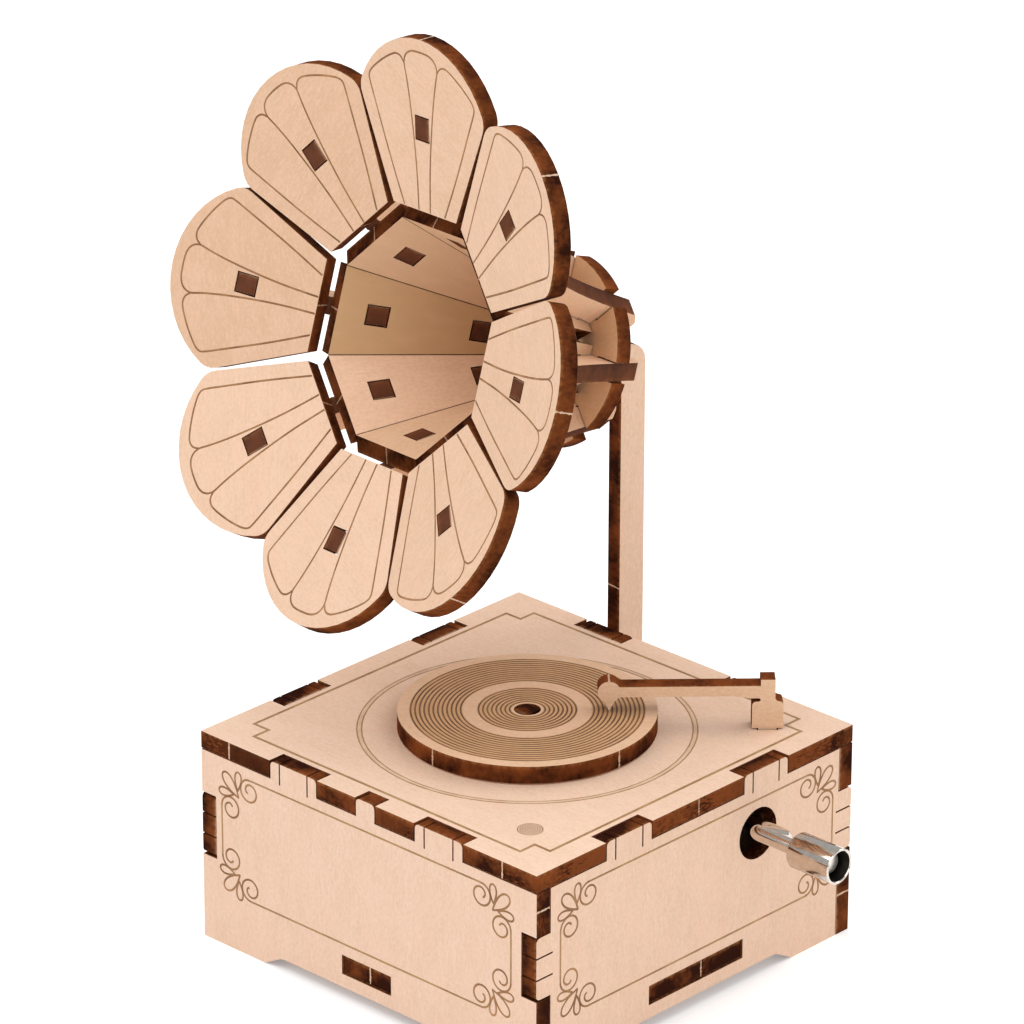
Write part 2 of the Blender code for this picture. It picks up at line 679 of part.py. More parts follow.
def build_post():
    """The post and its arm in one board. In its plane, x runs to the rear and y up."""
    skin = finish("post_ply", (0.76, 0.54, 0.36), 0.62)
    forward = Vector((-math.cos(HORN_TILT), math.sin(HORN_TILT)))
    upward = Vector((math.sin(HORN_TILT), math.cos(HORN_TILT)))
    axis = Vector((0, AXIS_Z))
    reach = MOUTH_TO_POST - DISC_DEPTH - PLY - FIT
    seat, tip = axis + forward * reach, axis + forward * (reach + PLY + FIT)
    arm, tenon = upward * (POST_ARM_HEIGHT / 2), upward * (POST_TENON_HEIGHT / 2)
    arm_rise = POST_ARM_HEIGHT / 2 / math.cos(HORN_TILT)
    top = AXIS_Z + arm_rise - POST_DEPTH * math.tan(HORN_TILT)
    tab_end = -(PLY + FIT) / math.cos(HORN_TURN)
    outline = [
        (0, POST_BOTTOM, TAB_ROUNDING),
        (POST_DEPTH, POST_BOTTOM, POST_ROUNDING),
        (POST_DEPTH, top, POST_ROUNDING),
        (*(seat + arm), 0.0),
        (*(seat + tenon), 0.0),
        (*(tip + tenon), 0.0),
        (*(tip - tenon), 0.0),
        (*(seat - tenon), 0.0),
        (*(seat - arm), 0.0),
        (0, AXIS_Z - arm_rise, POST_INNER_ROUNDING),
    ]
    for low in reversed(POST_TAB_LOW_STARTS):
        high = low + POST_TAB_HEIGHT
        outline += [(0, high, 0.0), (tab_end, high, 0.0), (tab_end, low, 0.0), (0, low, 0.0)]
    turn = (UPRIGHT, 0, math.pi / 2 - HORN_TURN)
    board("horn_post", [rounded(outline)], PLY, skin, (POST_X, POST_Y, 0), turn)


def horn_frame():
    """The middle of the horn's mouth, with its own Z out of the mouth along the axis."""
    flat = MOUTH_TO_POST * math.cos(HORN_TILT)
    place = (
        POST_X - flat * math.sin(HORN_TURN),
        POST_Y - flat * math.cos(HORN_TURN),
        AXIS_Z + MOUTH_TO_POST * math.sin(HORN_TILT),
    )
    return frame_empty("horn_axis", place, (math.pi / 2 - HORN_TILT, 0, -HORN_TURN))


def on_panel(along, out):
    """A point in a sector's own plane (radius, forward), out from a funnel board's inner face."""
    cos, sin = math.cos(CONE_TAPER), math.sin(CONE_TAPER)
    return Vector((MOUTH_APOTHEM - along * sin + out * cos, -along * cos - out * sin))


def on_petal(along, behind):
    """A point in a sector's own plane (radius, forward), behind a petal's front face."""
    cos, sin = math.cos(PETAL_LEAN), math.sin(PETAL_LEAN)
    return Vector((
        PETAL_RADIUS + along * cos + behind * sin,
        PETAL_ADVANCE + along * sin - behind * cos,
    ))


def crossing(first, first_way, second, second_way):
    """Where two lines in a plane meet."""
    area = first_way.cross(second_way)
    return first + first_way * ((second - first).cross(second_way) / area)


def build_panel(number, sector):
    skin = finish("funnel_ply", (0.62, 0.40, 0.23), 0.64)
    side_cut = SEAM_GAP / 2 / math.cos(HALF_SECTOR)
    length = (DISC_DEPTH - FIT - PLY * math.sin(CONE_TAPER)) / math.cos(CONE_TAPER)
    mouth = MOUTH_APOTHEM * math.tan(HALF_SECTOR) - side_cut
    throat = (MOUTH_APOTHEM - length * math.sin(CONE_TAPER)) * math.tan(HALF_SECTOR) - side_cut
    outline = [(0, -mouth), (length, -throat), (length, throat), (0, mouth)]
    slots = [
        rectangle(((start + end) / 2, 0), end - start, PLY + 2 * FIT)
        for start, end in (
            (FRONT_SLOT_START, FRONT_SLOT_END),
            (REAR_SLOT_START, REAR_SLOT_END),
        )
    ]
    middle = on_panel(0, PLY / 2)
    board(f"horn_panel_{number}", [outline] + slots, PLY, skin, (middle.x, 0, middle.y),
          (0, math.pi / 2 + CONE_TAPER, 0), sector)


def petal_outline():
    """Straight spreading sides, rounded corners and one broad arc at the outer end."""
    side = Vector((math.cos(PETAL_SIDE_ANGLE), math.sin(PETAL_SIDE_ANGLE)))
    inward = Vector((side.y, -side.x))
    root = Vector((0, PETAL_HALF_WIDTH))
    end_centre = Vector((PETAL_END_CENTRE, 0))
    start = root + inward * PETAL_CORNER_RADIUS - end_centre
    reach = PETAL_END_RADIUS - PETAL_CORNER_RADIUS
    half = start.dot(side)
    travel = -half + math.sqrt(half * half - start.length_squared + reach * reach)
    corner_centre = root + side * travel + inward * PETAL_CORNER_RADIUS
    end_angle = math.atan2(corner_centre.y, corner_centre.x - PETAL_END_CENTRE)
    side_angle = PETAL_SIDE_ANGLE + math.pi / 2
    end_steps = RIM_STEPS // 6
    end_arc = arc(end_centre, PETAL_END_RADIUS, -end_angle, end_angle, end_steps)
    corner = arc(corner_centre, PETAL_CORNER_RADIUS, end_angle, side_angle, FILLET_STEPS)[1:]
    inner = root + side * (PETAL_INSET / side.x)
    upper = corner + [tuple(inner)]
    lower = [(x, -y) for x, y in reversed(upper)]
    return lower + end_arc + upper


def build_petal(number, sector):
    skin = finish("petal_ply", (0.84, 0.62, 0.43), 0.60)
    slot_middle = (PETAL_SLOT_START + PETAL_SLOT_END) / 2
    slot = rectangle((slot_middle, 0), PETAL_SLOT_END - PETAL_SLOT_START, PLY + 2 * FIT)
    middle = on_petal(0, PLY / 2)
    board(f"horn_petal_{number}", [petal_outline(), slot], PLY, skin, (middle.x, 0, middle.y),
          (0, -PETAL_LEAN, 0), sector)


def flare(start, end, steps):
    """The rib's outer edge, a curve that spreads like a trumpet towards the petal."""
    span = end - start

    def at_shares(shares):
        return Vector((start.x + span.x * shares[0], start.y + span.y * shares[1]))

    knots = [start, at_shares(FLARE_NEAR_SHARES), at_shares(FLARE_FAR_SHARES), end]
    points = []
    for step in range(1, steps):
        t = step / steps
        weights = ((1 - t) ** 3, 3 * t * (1 - t) ** 2, 3 * t * t * (1 - t), t ** 3)
        spot = sum((knot * weight for knot, weight in zip(knots, weights)), Vector((0, 0)))
        points.append((spot.x, spot.y, 0.0))
    return points


def rib_outline():
    """A rib in its sector's plane, x outward from the axis and y forward along it."""
    seat = PLY + FIT
    disc_front, disc_back = -(DISC_DEPTH - FIT), -(DISC_DEPTH + PLY + FIT)
    panel_way = on_panel(1, 0) - on_panel(0, 0)
    petal_way = on_petal(1, 0) - on_petal(0, 0)
    square = Vector((1, 0))
    inner_front = crossing(on_panel(0, seat), panel_way, Vector((0, disc_front)), square)
    throat = crossing(on_panel(0, seat), panel_way, on_petal(0, seat), petal_way)
    shoulder = on_petal(PETAL_SLOT_END + RIB_SHOULDER, seat)
    tail = Vector((RIB_TAIL_RADIUS, -RIB_TAIL_DEPTH))

    def tab(place, start, end):
        low, high = start + FIT, end - FIT
        return [(*place(*spot), 0.0) for spot in ((low, seat), (low, 0), (high, 0), (high, seat))]

    outline = [
        (RIB_INNER_RADIUS, disc_back, RIB_TIP_ROUNDING),
        (HALVING_RADIUS, disc_back, 0.0),
        (HALVING_RADIUS, disc_front, 0.0),
        (*inner_front, 0.0),
    ]
    outline += reversed(tab(on_panel, REAR_SLOT_START, REAR_SLOT_END))
    outline += reversed(tab(on_panel, FRONT_SLOT_START, FRONT_SLOT_END))
    outline.append((*throat, 0.0))
    outline += tab(on_petal, PETAL_SLOT_START, PETAL_SLOT_END)
    outline.append((*shoulder, RIB_TIP_ROUNDING))
    outline += flare(shoulder, tail, RIM_STEPS // 6)
    outline += [
        (*tail, RIB_TAIL_ROUNDING),
        (RIB_HEEL_RADIUS, -RIB_HEEL_DEPTH, RIB_HEEL_ROUNDING),
    ]
    return rounded(outline)


def build_rib(number, sector):
    skin = finish("rib_ply", (0.70, 0.47, 0.30), 0.64)
    board(f"horn_rib_{number}", [rib_outline()], PLY, skin, turn=(UPRIGHT, 0, 0), parent=sector)


def build_rear_disc(axis):
    """The disc behind the funnel, open at its rim where each rib is halved into it."""
    skin = finish("disc_ply", (0.62, 0.40, 0.23), 0.64)
    half_slot = PLY / 2 + FIT
    depth = HALVING_RADIUS - FIT
    slot_angle = math.asin(half_slot / DISC_RADIUS)
    outline = []
    for number in range(SECTORS):
        middle = 2 * HALF_SECTOR * number
        way = Vector((math.cos(middle), math.sin(middle)))
        across = Vector((-way.y, way.x)) * half_slot
        outline += [tuple(way * depth - across), tuple(way * depth + across)]
        start, end = middle + slot_angle, middle + 2 * HALF_SECTOR - slot_angle
        outline += arc((0, 0), DISC_RADIUS, start, end, RIM_STEPS // SECTORS)
    slot = rectangle((0, 0), PLY + 2 * FIT, POST_TENON_HEIGHT + 2 * FIT, -HORN_ROLL)
    board("horn_rear_disc", [outline, slot], PLY, skin, (0, 0, -DISC_DEPTH - PLY / 2),
          (0, 0, HORN_ROLL), axis)


def build_horn():
    build_post()
    axis = horn_frame()
    build_rear_disc(axis)
    for number in range(SECTORS):
        turn = HORN_ROLL + 2 * HALF_SECTOR * number
        sector = frame_empty(f"horn_sector_{number + 1}", turn=(0, 0, turn), parent=axis)
        build_panel(number + 1, sector)
        build_petal(number + 1, sector)
        build_rib(number + 1, sector)


# Crank

def build_crank():
    nickel = finish("crank_nickel", (0.62, 0.57, 0.52), 0.18, 1.0)
    axis = frame_empty("crank_axis", (0, CRANK_Y, SHAFT_Z))
    offset_y = CRANK_THROW * math.cos(CRANK_REST_ANGLE)
    offset_z = CRANK_THROW * math.sin(CRANK_REST_ANGLE)
    inner_end = HUB_START_X + HUB_LENGTH - HUB_BORE_DEPTH + FIT
    corners = [
        (inner_end, 0, 0, 0.0),
        (CRANK_ELBOW_X, 0, 0, WIRE_BEND),
        (CRANK_ELBOW_X, offset_y, offset_z, WIRE_BEND),
        (WIRE_END_X, offset_y, offset_z, 0.0),
    ]
    path = rounded(corners, steps=2 * FILLET_STEPS, closed=False)
    bent = as_mesh(wire("crank_wire", path, WIRE_RADIUS, 6, nickel, parent=axis))
    rim = WIRE_HEAD_RADIUS - WIRE_HEAD_CHAMFER
    peened = [
        (0, 0),
        (rim, 0),
        (WIRE_HEAD_RADIUS, -WIRE_HEAD_CHAMFER),
        (WIRE_HEAD_RADIUS, -WIRE_HEAD_LENGTH),
        (0, -WIRE_HEAD_LENGTH),
    ]
    head_place = WIRE_END_X + WIRE_HEAD_CHAMFER, offset_y, offset_z
    head = turned("head", peened, HOLE_STEPS, nickel, head_place, (0, math.pi / 2, 0), axis)
    combine(bent, as_mesh(head), "UNION")

    bore = WIRE_RADIUS + RUNNING_GAP
    length = KNOB_END_X - KNOB_START_X
    cup = KNOB_RADIUS - KNOB_WALL
    profile = [
        (bore, length - KNOB_CUP_DEPTH),
        (cup, length - KNOB_CUP_DEPTH),
        (cup, length),
        (KNOB_RADIUS, length),
        (KNOB_RADIUS, KNOB_EDGE),
        (KNOB_RADIUS - KNOB_EDGE, 0),
        (bore, 0),
    ]
    turned("crank_knob", profile, HOLE_STEPS, nickel, (KNOB_START_X, offset_y, offset_z),
           (0, math.pi / 2, 0), axis, ring=True)


# Movement

def lug_loops(height, bore):
    """An upright bearing: straight sides from inside the bed to a round head with a bore."""
    radius = bore + LUG_WALL
    head = arc((0, height), radius, 0, math.pi, HOLE_STEPS // 2)
    foot = BED_Z + BED_THICKNESS / 2
    return [[(-radius, foot), (radius, foot)] + head, circle((0, height), bore, HOLE_STEPS)]


def build_bed():
    """The cast bed: one plate with four bearing lugs and the shelf that carries the comb."""
    zinc = finish("bed_zinc", (0.45, 0.45, 0.46), 0.45, 1.0)
    plate = rectangle(((BED_X_LOW + BED_X_HIGH) / 2, (BED_Y_LOW + BED_Y_HIGH) / 2),
                      BED_X_HIGH - BED_X_LOW, BED_Y_HIGH - BED_Y_LOW)
    holes = [
        circle(spot, SCREW_SHANK_RADIUS + RUNNING_GAP, SCREW_STEPS)
        for spot in bed_screw_places()
    ]
    bed = as_mesh(board("movement_bed", [plate] + holes, BED_THICKNESS, zinc,
                        (0, 0, BED_Z + BED_THICKNESS / 2)))

    side_turn = (UPRIGHT, 0, math.pi / 2)
    worm_lug = lug_loops(SHAFT_Z, SHAFT_RADIUS + RUNNING_GAP)
    arbor_lug = lug_loops(GEAR_Z, ARBOR_RADIUS + RUNNING_GAP)
    for x in (INNER_LUG_X, OUTER_LUG_X):
        lug = board("lug", worm_lug, LUG_THICKNESS, zinc, (x, CRANK_Y, 0), side_turn)
        combine(bed, as_mesh(lug), "UNION")
    for y in (FRONT_LUG_Y, REAR_LUG_Y):
        lug = board("lug", arbor_lug, ARBOR_LUG_THICKNESS, zinc, (GEAR_X, y, 0), (UPRIGHT, 0, 0))
        combine(bed, as_mesh(lug), "UNION")

    shelf_low = BED_Z + BED_THICKNESS / 2
    centre = ((COMB_BACK_X + COMB_ROOT_X) / 2, (COMB_LOW_Y + COMB_HIGH_Y) / 2)
    shelf = rectangle(centre, COMB_BASE_DEPTH, COMB_WIDTH)
    bores = [
        circle(spot, SCREW_SHANK_RADIUS + RUNNING_GAP, SCREW_STEPS)
        for spot in comb_screw_places()
    ]
    block = board("shelf", [shelf] + bores, SHELF_TOP - shelf_low, zinc,
                  (0, 0, (SHELF_TOP + shelf_low) / 2))
    combine(bed, as_mesh(block), "UNION")


def comb_screw_places():
    """The two screws stand at the quarter points of the comb's base."""
    x = (COMB_BACK_X + COMB_ROOT_X) / 2
    return [(x, COMB_LOW_Y + COMB_WIDTH * share) for share in (0.25, 0.75)]


def build_comb():
    """The steel comb, its teeth growing longer from the treble to the bass end."""
    steel = finish("comb_steel", (0.55, 0.55, 0.56), 0.28, 1.0)
    slits = []
    for number in range(1, COMB_TEETH):
        middle = number * COMB_PITCH
        share = number / COMB_TEETH
        depth = COMB_LONG_TOOTH + (COMB_SHORT_TOOTH - COMB_LONG_TOOTH) * share
        slits.append((middle - COMB_SLIT / 2, middle + COMB_SLIT / 2, -depth))
    outline = [(COMB_BACK_X, COMB_LOW_Y, 0.0)]
    outline += stepped_edge((COMB_TIP_X, COMB_LOW_Y), (COMB_TIP_X, COMB_HIGH_Y), slits)
    outline.append((COMB_BACK_X, COMB_HIGH_Y, 0.0))
    holes = [
        circle(spot, SCREW_SHANK_RADIUS + RUNNING_GAP, SCREW_STEPS)
        for spot in comb_screw_places()
    ]
    board("comb", [rounded(outline)] + holes, COMB_THICKNESS, steel, (0, 0, COMB_Z))


def build_screw(name, place, grip, skin):
    """A cheese-head screw standing on a face, with its shank down through the grip."""
    profile = [
        (0, SCREW_HEAD_HEIGHT),
        (SCREW_HEAD_RADIUS, SCREW_HEAD_HEIGHT),
        (SCREW_HEAD_RADIUS, 0),
        (SCREW_SHANK_RADIUS, 0),
        (SCREW_SHANK_RADIUS, -grip),
        (0, -grip),
    ]
    turned(name, profile, SCREW_STEPS, skin, place)


def build_screws():
    skin = finish("screw_steel", (0.50, 0.48, 0.44), 0.35, 1.0)
    comb_face = COMB_Z + COMB_THICKNESS / 2 + FIT
    for number, (x, y) in enumerate(comb_screw_places(), 1):
        grip = COMB_THICKNESS + 2 * FIT + 2 * SCREW_BITE
        build_screw(f"comb_screw_{number}", (x, y, comb_face), grip, skin)
    for number, (x, y) in enumerate(bed_screw_places(), 1):
        grip = BED_THICKNESS + 2 * FIT + SCREW_BITE
        build_screw(f"bed_screw_{number}", (x, y, BED_TOP + FIT), grip, skin)


def build_cylinder():
    """The brass cylinder, its arbor and the gear at its crank end, all on one axis."""
    brass = finish("cylinder_brass", (0.72, 0.50, 0.20), 0.30, 1.0)
    steel = finish("arbor_steel", (0.55, 0.55, 0.56), 0.25, 1.0)
    gear_skin = finish("gear_brass", (0.70, 0.48, 0.20), 0.35, 1.0)
    axis = frame_empty("cylinder_axis", (GEAR_X, 0, GEAR_Z))
    along_y = (-math.pi / 2, 0, 0)
    bore = ARBOR_RADIUS + RUNNING_GAP
    low, high, wall_in = CYLINDER_LOW_Y, CYLINDER_HIGH_Y, CYLINDER_RADIUS - CYLINDER_WALL
    profile = [
        (bore, high),
        (CYLINDER_RADIUS, high),
        (CYLINDER_RADIUS, low),
        (bore, low),
        (bore, low + CYLINDER_WALL),
        (wall_in, low + CYLINDER_WALL),
        (wall_in, high - CYLINDER_WALL),
        (bore, high - CYLINDER_WALL),
    ]
    turned("music_cylinder", profile, HOLE_STEPS, brass, turn=along_y, parent=axis, ring=True)

    ends = (
        REAR_LUG_Y + ARBOR_LUG_THICKNESS / 2 + OVERRUN,
        FRONT_LUG_Y - ARBOR_LUG_THICKNESS / 2 - OVERRUN,
    )
    rod = [(0, ends[0]), (ARBOR_RADIUS, ends[0]), (ARBOR_RADIUS, ends[1]), (0, ends[1])]
    turned("cylinder_arbor", rod, HOLE_STEPS, steel, turn=along_y, parent=axis)

    outline = []
    for number in range(GEAR_TEETH):
        middle = math.pi / 2 + 2 * math.pi * (number + 0.5) / GEAR_TEETH
        for radius, land in (
            (GEAR_ROOT_RADIUS, -GEAR_ROOT_LAND),
            (GEAR_TIP_RADIUS, -GEAR_TIP_LAND),
            (GEAR_TIP_RADIUS, GEAR_TIP_LAND),
            (GEAR_ROOT_RADIUS, GEAR_ROOT_LAND),
        ):
            angle = middle + math.asin(land / 2 / radius)
            outline.append((radius * math.cos(angle), radius * math.sin(angle)))
    board("cylinder_gear", [outline, circle((0, 0), bore, HOLE_STEPS)], GEAR_WIDTH, gear_skin,
          (0, CRANK_Y, 0), (UPRIGHT, 0, 0), axis)


def build_worm():
    """The worm shaft: a core with one round thread, and a hub that takes the crank wire."""
    steel = finish("worm_steel", (0.52, 0.52, 0.54), 0.28, 1.0)
    thread_start = GEAR_X - WORM_LEAD * WORM_TURNS / 2
    thread_end = GEAR_X + WORM_LEAD * WORM_TURNS / 2
    core_start, core_end = thread_start - LUG_GAP / 2, thread_end + LUG_GAP / 2
    hub_end = HUB_START_X + HUB_LENGTH
    bore = WIRE_RADIUS + RUNNING_GAP
    shaft_start = INNER_LUG_X - LUG_THICKNESS / 2 - OVERRUN
    profile = [
        (0, hub_end - HUB_BORE_DEPTH),
        (bore, hub_end - HUB_BORE_DEPTH),
        (bore, hub_end),
        (HUB_RADIUS, hub_end),
        (HUB_RADIUS, HUB_START_X),
        (SHAFT_RADIUS, HUB_START_X),
        (SHAFT_RADIUS, core_end),
        (WORM_CORE_RADIUS, core_end),
        (WORM_CORE_RADIUS, core_start),
        (SHAFT_RADIUS, core_start),
        (SHAFT_RADIUS, shaft_start),
        (0, shaft_start),
    ]
    place = (0, CRANK_Y, SHAFT_Z)
    shaft = as_mesh(turned("worm_shaft", profile, HOLE_STEPS, steel, place, (0, math.pi / 2, 0)))

    turn_steps = 16
    helix = []
    for step in range(WORM_TURNS * turn_steps + 1):
        turns = step / turn_steps - WORM_TURNS / 2
        angle = 2 * math.pi * turns - math.pi / 2
        helix.append((
            GEAR_X + WORM_LEAD * turns,
            WORM_THREAD_CENTRE * math.cos(angle),
            WORM_THREAD_CENTRE * math.sin(angle),
        ))
    thread = wire("thread", helix, WORM_THREAD_RADIUS, 1, steel, place)
    combine(shaft, as_mesh(thread), "UNION")


clear_scene()
parts = new_collection("gramophone_music_box")
cutters = new_collection("cutters")
build_walls()
build_top_plate()
build_floor_plate()
build_record()
build_tonearm()
build_horn()
build_crank()
build_bed()
build_comb()
build_cylinder()
build_worm()
build_screws()
bpy.context.view_layer.update()
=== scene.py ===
import math

import bmesh
import bpy
from mathutils import Euler, Matrix, Vector


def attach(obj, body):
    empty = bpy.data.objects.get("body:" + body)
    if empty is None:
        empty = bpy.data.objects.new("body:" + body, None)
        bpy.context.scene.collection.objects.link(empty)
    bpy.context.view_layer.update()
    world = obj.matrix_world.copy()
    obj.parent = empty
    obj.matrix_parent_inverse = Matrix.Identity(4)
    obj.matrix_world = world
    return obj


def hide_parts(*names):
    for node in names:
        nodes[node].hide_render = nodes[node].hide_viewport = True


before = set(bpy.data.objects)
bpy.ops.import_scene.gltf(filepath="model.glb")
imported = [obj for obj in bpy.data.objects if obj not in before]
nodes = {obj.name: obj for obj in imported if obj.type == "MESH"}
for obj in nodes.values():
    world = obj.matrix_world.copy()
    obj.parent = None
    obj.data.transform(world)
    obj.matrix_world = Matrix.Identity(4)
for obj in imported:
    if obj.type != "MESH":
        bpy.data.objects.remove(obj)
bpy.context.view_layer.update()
ply = 0.003
tableTop = -0.0048
plateTop = 0.0326
wallMiddle = 0.036
recordGap = 0.0003
recordRadius = 0.0212

# camera first, at the angle of the photograph

cameraLook = {
    "place": (0.64453, -0.68284, 0.48647),
    "towards": (-0.62951, 0.66328, -0.40468),
    "roll": math.radians(0.12),
    "lens": 225.3,
    "sensor": 36,
    "near": 0.05,
}


def makeCamera(look):
    data = bpy.data.cameras.new("photoCamera")
    data.lens = look["lens"]
    data.sensor_width = look["sensor"]
    data.sensor_fit = "HORIZONTAL"
    data.clip_start = look["near"]
    camera = bpy.data.objects.new("photoCamera", data)
    bpy.context.collection.objects.link(camera)
    turn = Vector(look["towards"]).to_track_quat("-Z", "Y").to_matrix().to_4x4()
    camera.matrix_world = Matrix.Translation(look["place"]) @ turn @ Matrix.Rotation(look["roll"], 4, "Z")
    bpy.context.scene.camera = camera


studio = {
    "backdrop": (0.97, 0.985, 1.0),
    "backdropStrength": 0.52,
    "floorColour": (0.95, 0.95, 0.95),
    "floorGlow": 0.24,
    "floorHalf": 1.5,
    "floorRoughness": 0.9,
    "lampAim": (0, 0, 0.05),
    "lamps": {
        "keyLight": ((-0.30, -0.95, 0.97), 0.80, 4.1),
        "fillLight": ((1.00, -0.45, 0.60), 0.80, 2.65),
        "topLight": ((-0.05, 0.00, 1.10), 1.20, 5.5),
        "sparkLight": ((-0.76, -0.56, 0.97), 0.32, 1.6),
        "backLight": ((0.25, 0.90, 0.75), 0.80, 3.2),
    },
}


def makeStudio(values):
    floor = bmesh.new()
    bmesh.ops.create_grid(floor, x_segments=1, y_segments=1, size=values["floorHalf"])
    bmesh.ops.translate(floor, verts=floor.verts, vec=(0, 0, tableTop))
    mesh = bpy.data.meshes.new("studioFloor")
    floor.to_mesh(mesh)
    floor.free()
    plane = bpy.data.objects.new("studioFloor", mesh)
    bpy.context.collection.objects.link(plane)
    paint = bpy.data.materials.new("studioFloor")
    paint.use_nodes = True
    shader = paint.node_tree.nodes["Principled BSDF"]
    shader.inputs["Base Color"].default_value = (*values["floorColour"], 1)
    shader.inputs["Roughness"].default_value = values["floorRoughness"]
    shader.inputs["Emission Color"].default_value = (1, 1, 1, 1)
    shader.inputs["Emission Strength"].default_value = values["floorGlow"]
    mesh.materials.append(paint)

    world = bpy.data.worlds.new("studioWorld")
    world.use_nodes = True
    back = world.node_tree.nodes["Background"]
    back.inputs["Color"].default_value = (*values["backdrop"], 1)
    back.inputs["Strength"].default_value = values["backdropStrength"]
    bpy.context.scene.world = world
    for name, (place, size, power) in values["lamps"].items():
        lamp = bpy.data.lights.new(name, "AREA")
        lamp.size = size
        lamp.energy = power
        holder = bpy.data.objects.new(name, lamp)
        bpy.context.collection.objects.link(holder)
        aim = (Vector(values["lampAim"]) - Vector(place)).to_track_quat("-Z", "Y")
        holder.matrix_world = Matrix.Translation(place) @ aim.to_matrix().to_4x4()


makeCamera(cameraLook)
makeStudio(studio)
bpy.context.scene.view_settings.view_transform = "Standard"
print("studio ready")

# where each board lies: x and y across its face, z through its thickness


def place(where=(0, 0, 0), turn=(0, 0, 0)):
    return Matrix.Translation(where) @ Euler(turn).to_matrix().to_4x4()


quarter = math.pi / 2
tonearmTurn = math.radians(45)
horn = {
    "postPlace": (-0.0160, 0.0379224, 0.0826),
    "turn": math.radians(6.6),
    "tilt": math.radians(17.9),
    "roll": math.radians(2.6),
    "mouthToPost": 0.0460,
    "sectors": 8,
    "apothem": 0.01814,
    "coneLength": 0.0498,
    "discDepth": 0.0307,
    "petalLean": math.radians(17.7),
    "petalRadius": 0.0203,
    "petalAdvance": 0.0023,
    "seamWidth": 0.00026,
    "seamBehind": 0.00004,
    "seamStart": 0.0001,
    "seamShort": 0.0004,
}


def hornAxisPlace(values):
    # the middle of the mouth, with z out of it
    turn, tilt = values["turn"], values["tilt"]
    out = Matrix.Rotation(-turn, 4, "Z") @ Vector((0, -math.cos(tilt), math.sin(tilt)))
    return place(Vector(values["postPlace"]) + out * values["mouthToPost"], (quarter - tilt, 0, -turn))


def boardPlaces(axis):
    # every plywood board's own frame, by node name
    found = {
        "top_plate": place((0, 0, plateTop - ply / 2)),
        "floor_plate": place((0, 0, ply / 2)),
        "front_panel": place((0, -wallMiddle, 0), (quarter, 0, 0)),
        "back_panel": place((0, wallMiddle, 0), (quarter, 0, 0)),
        "left_panel": place((-wallMiddle, 0, 0), (quarter, 0, quarter)),
        "right_panel": place((wallMiddle, 0, 0), (quarter, 0, quarter)),
        "record_disc": place((0, 0, plateTop + recordGap + ply / 2)),
        "record_peg": place((0, 0, 0), (quarter, 0, 0)),
        "tonearm": place((0, 0, plateTop), (quarter, 0, tonearmTurn)),
        "horn_post": place((*horn["postPlace"][:2], 0), (quarter, 0, quarter - horn["turn"])),
    }
    taper = math.atan2(horn["apothem"], horn["coneLength"])
    lean = horn["petalLean"]
    found["horn_rear_disc"] = axis @ place((0, 0, -horn["discDepth"] - ply / 2), (0, 0, horn["roll"]))
    panelSpot = (horn["apothem"] + ply / 2 * math.cos(taper), 0, -ply / 2 * math.sin(taper))
    petalDepth = horn["petalAdvance"] - ply / 2 * math.cos(lean)
    petalSpot = (horn["petalRadius"] + ply / 2 * math.sin(lean), 0, petalDepth)
    panel, petal = place(panelSpot, (0, quarter + taper, 0)), place(petalSpot, (0, -lean, 0))
    sectorTurn = 2 * math.pi / horn["sectors"]
    for number in range(horn["sectors"]):
        sector = axis @ place(turn=(0, 0, horn["roll"] + sectorTurn * number))
        found[f"horn_panel_{number + 1}"] = sector @ panel
        found[f"horn_petal_{number + 1}"] = sector @ petal
        found[f"horn_rib_{number + 1}"] = sector @ place(turn=(quarter, 0, 0))
    return found


hornAxis = hornAxisPlace(horn)
boards = boardPlaces(hornAxis)
print("board frames ready")

# shader groups


def newGroup(name, inputs, outputs):
    tree = bpy.data.node_groups.new(name, "ShaderNodeTree")
    for label, kind, value in inputs:
        socket = tree.interface.new_socket(label, in_out="INPUT", socket_type=kind)
        if value is not None:
            socket.default_value = value
    for label, kind in outputs:
        tree.interface.new_socket(label, in_out="OUTPUT", socket_type=kind)
    return tree, tree.nodes.new("NodeGroupInput"), tree.nodes.new("NodeGroupOutput")


def wire(tree, value, socket):
    # joins an output, or sets a plain value
    if isinstance(value, bpy.types.NodeSocket):
        tree.links.new(value, socket)
    elif value is not None:
        socket.default_value = value


def maths(tree, operation, a, b=None, clamp=False):
    node = tree.nodes.new("ShaderNodeMath")
    node.operation = operation
    node.use_clamp = clamp
    wire(tree, a, node.inputs[0])
    wire(tree, b, node.inputs[1])
    return node.outputs[0]


def stretched(tree, vector, scale):
    node = tree.nodes.new("ShaderNodeVectorMath")
    node.operation = "MULTIPLY"
    wire(tree, vector, node.inputs[0])
    node.inputs[1].default_value = scale
    return node.outputs[0]


def noise(tree, vector, scale, detail=2.0, rough=0.5):
    node = tree.nodes.new("ShaderNodeTexNoise")
    wire(tree, vector, node.inputs["Vector"])
    node.inputs["Scale"].default_value = scale
    node.inputs["Detail"].default_value = detail
    node.inputs["Roughness"].default_value = rough
    return node.outputs["Fac"]


def remap(tree, value, low, high, toLow=0.0, toHigh=1.0):
    node = tree.nodes.new("ShaderNodeMapRange")
    wire(tree, value, node.inputs["Value"])
    wire(tree, low, node.inputs["From Min"])
    wire(tree, high, node.inputs["From Max"])
    node.inputs["To Min"].default_value = toLow
    node.inputs["To Max"].default_value = toHigh
    return node.outputs["Result"]


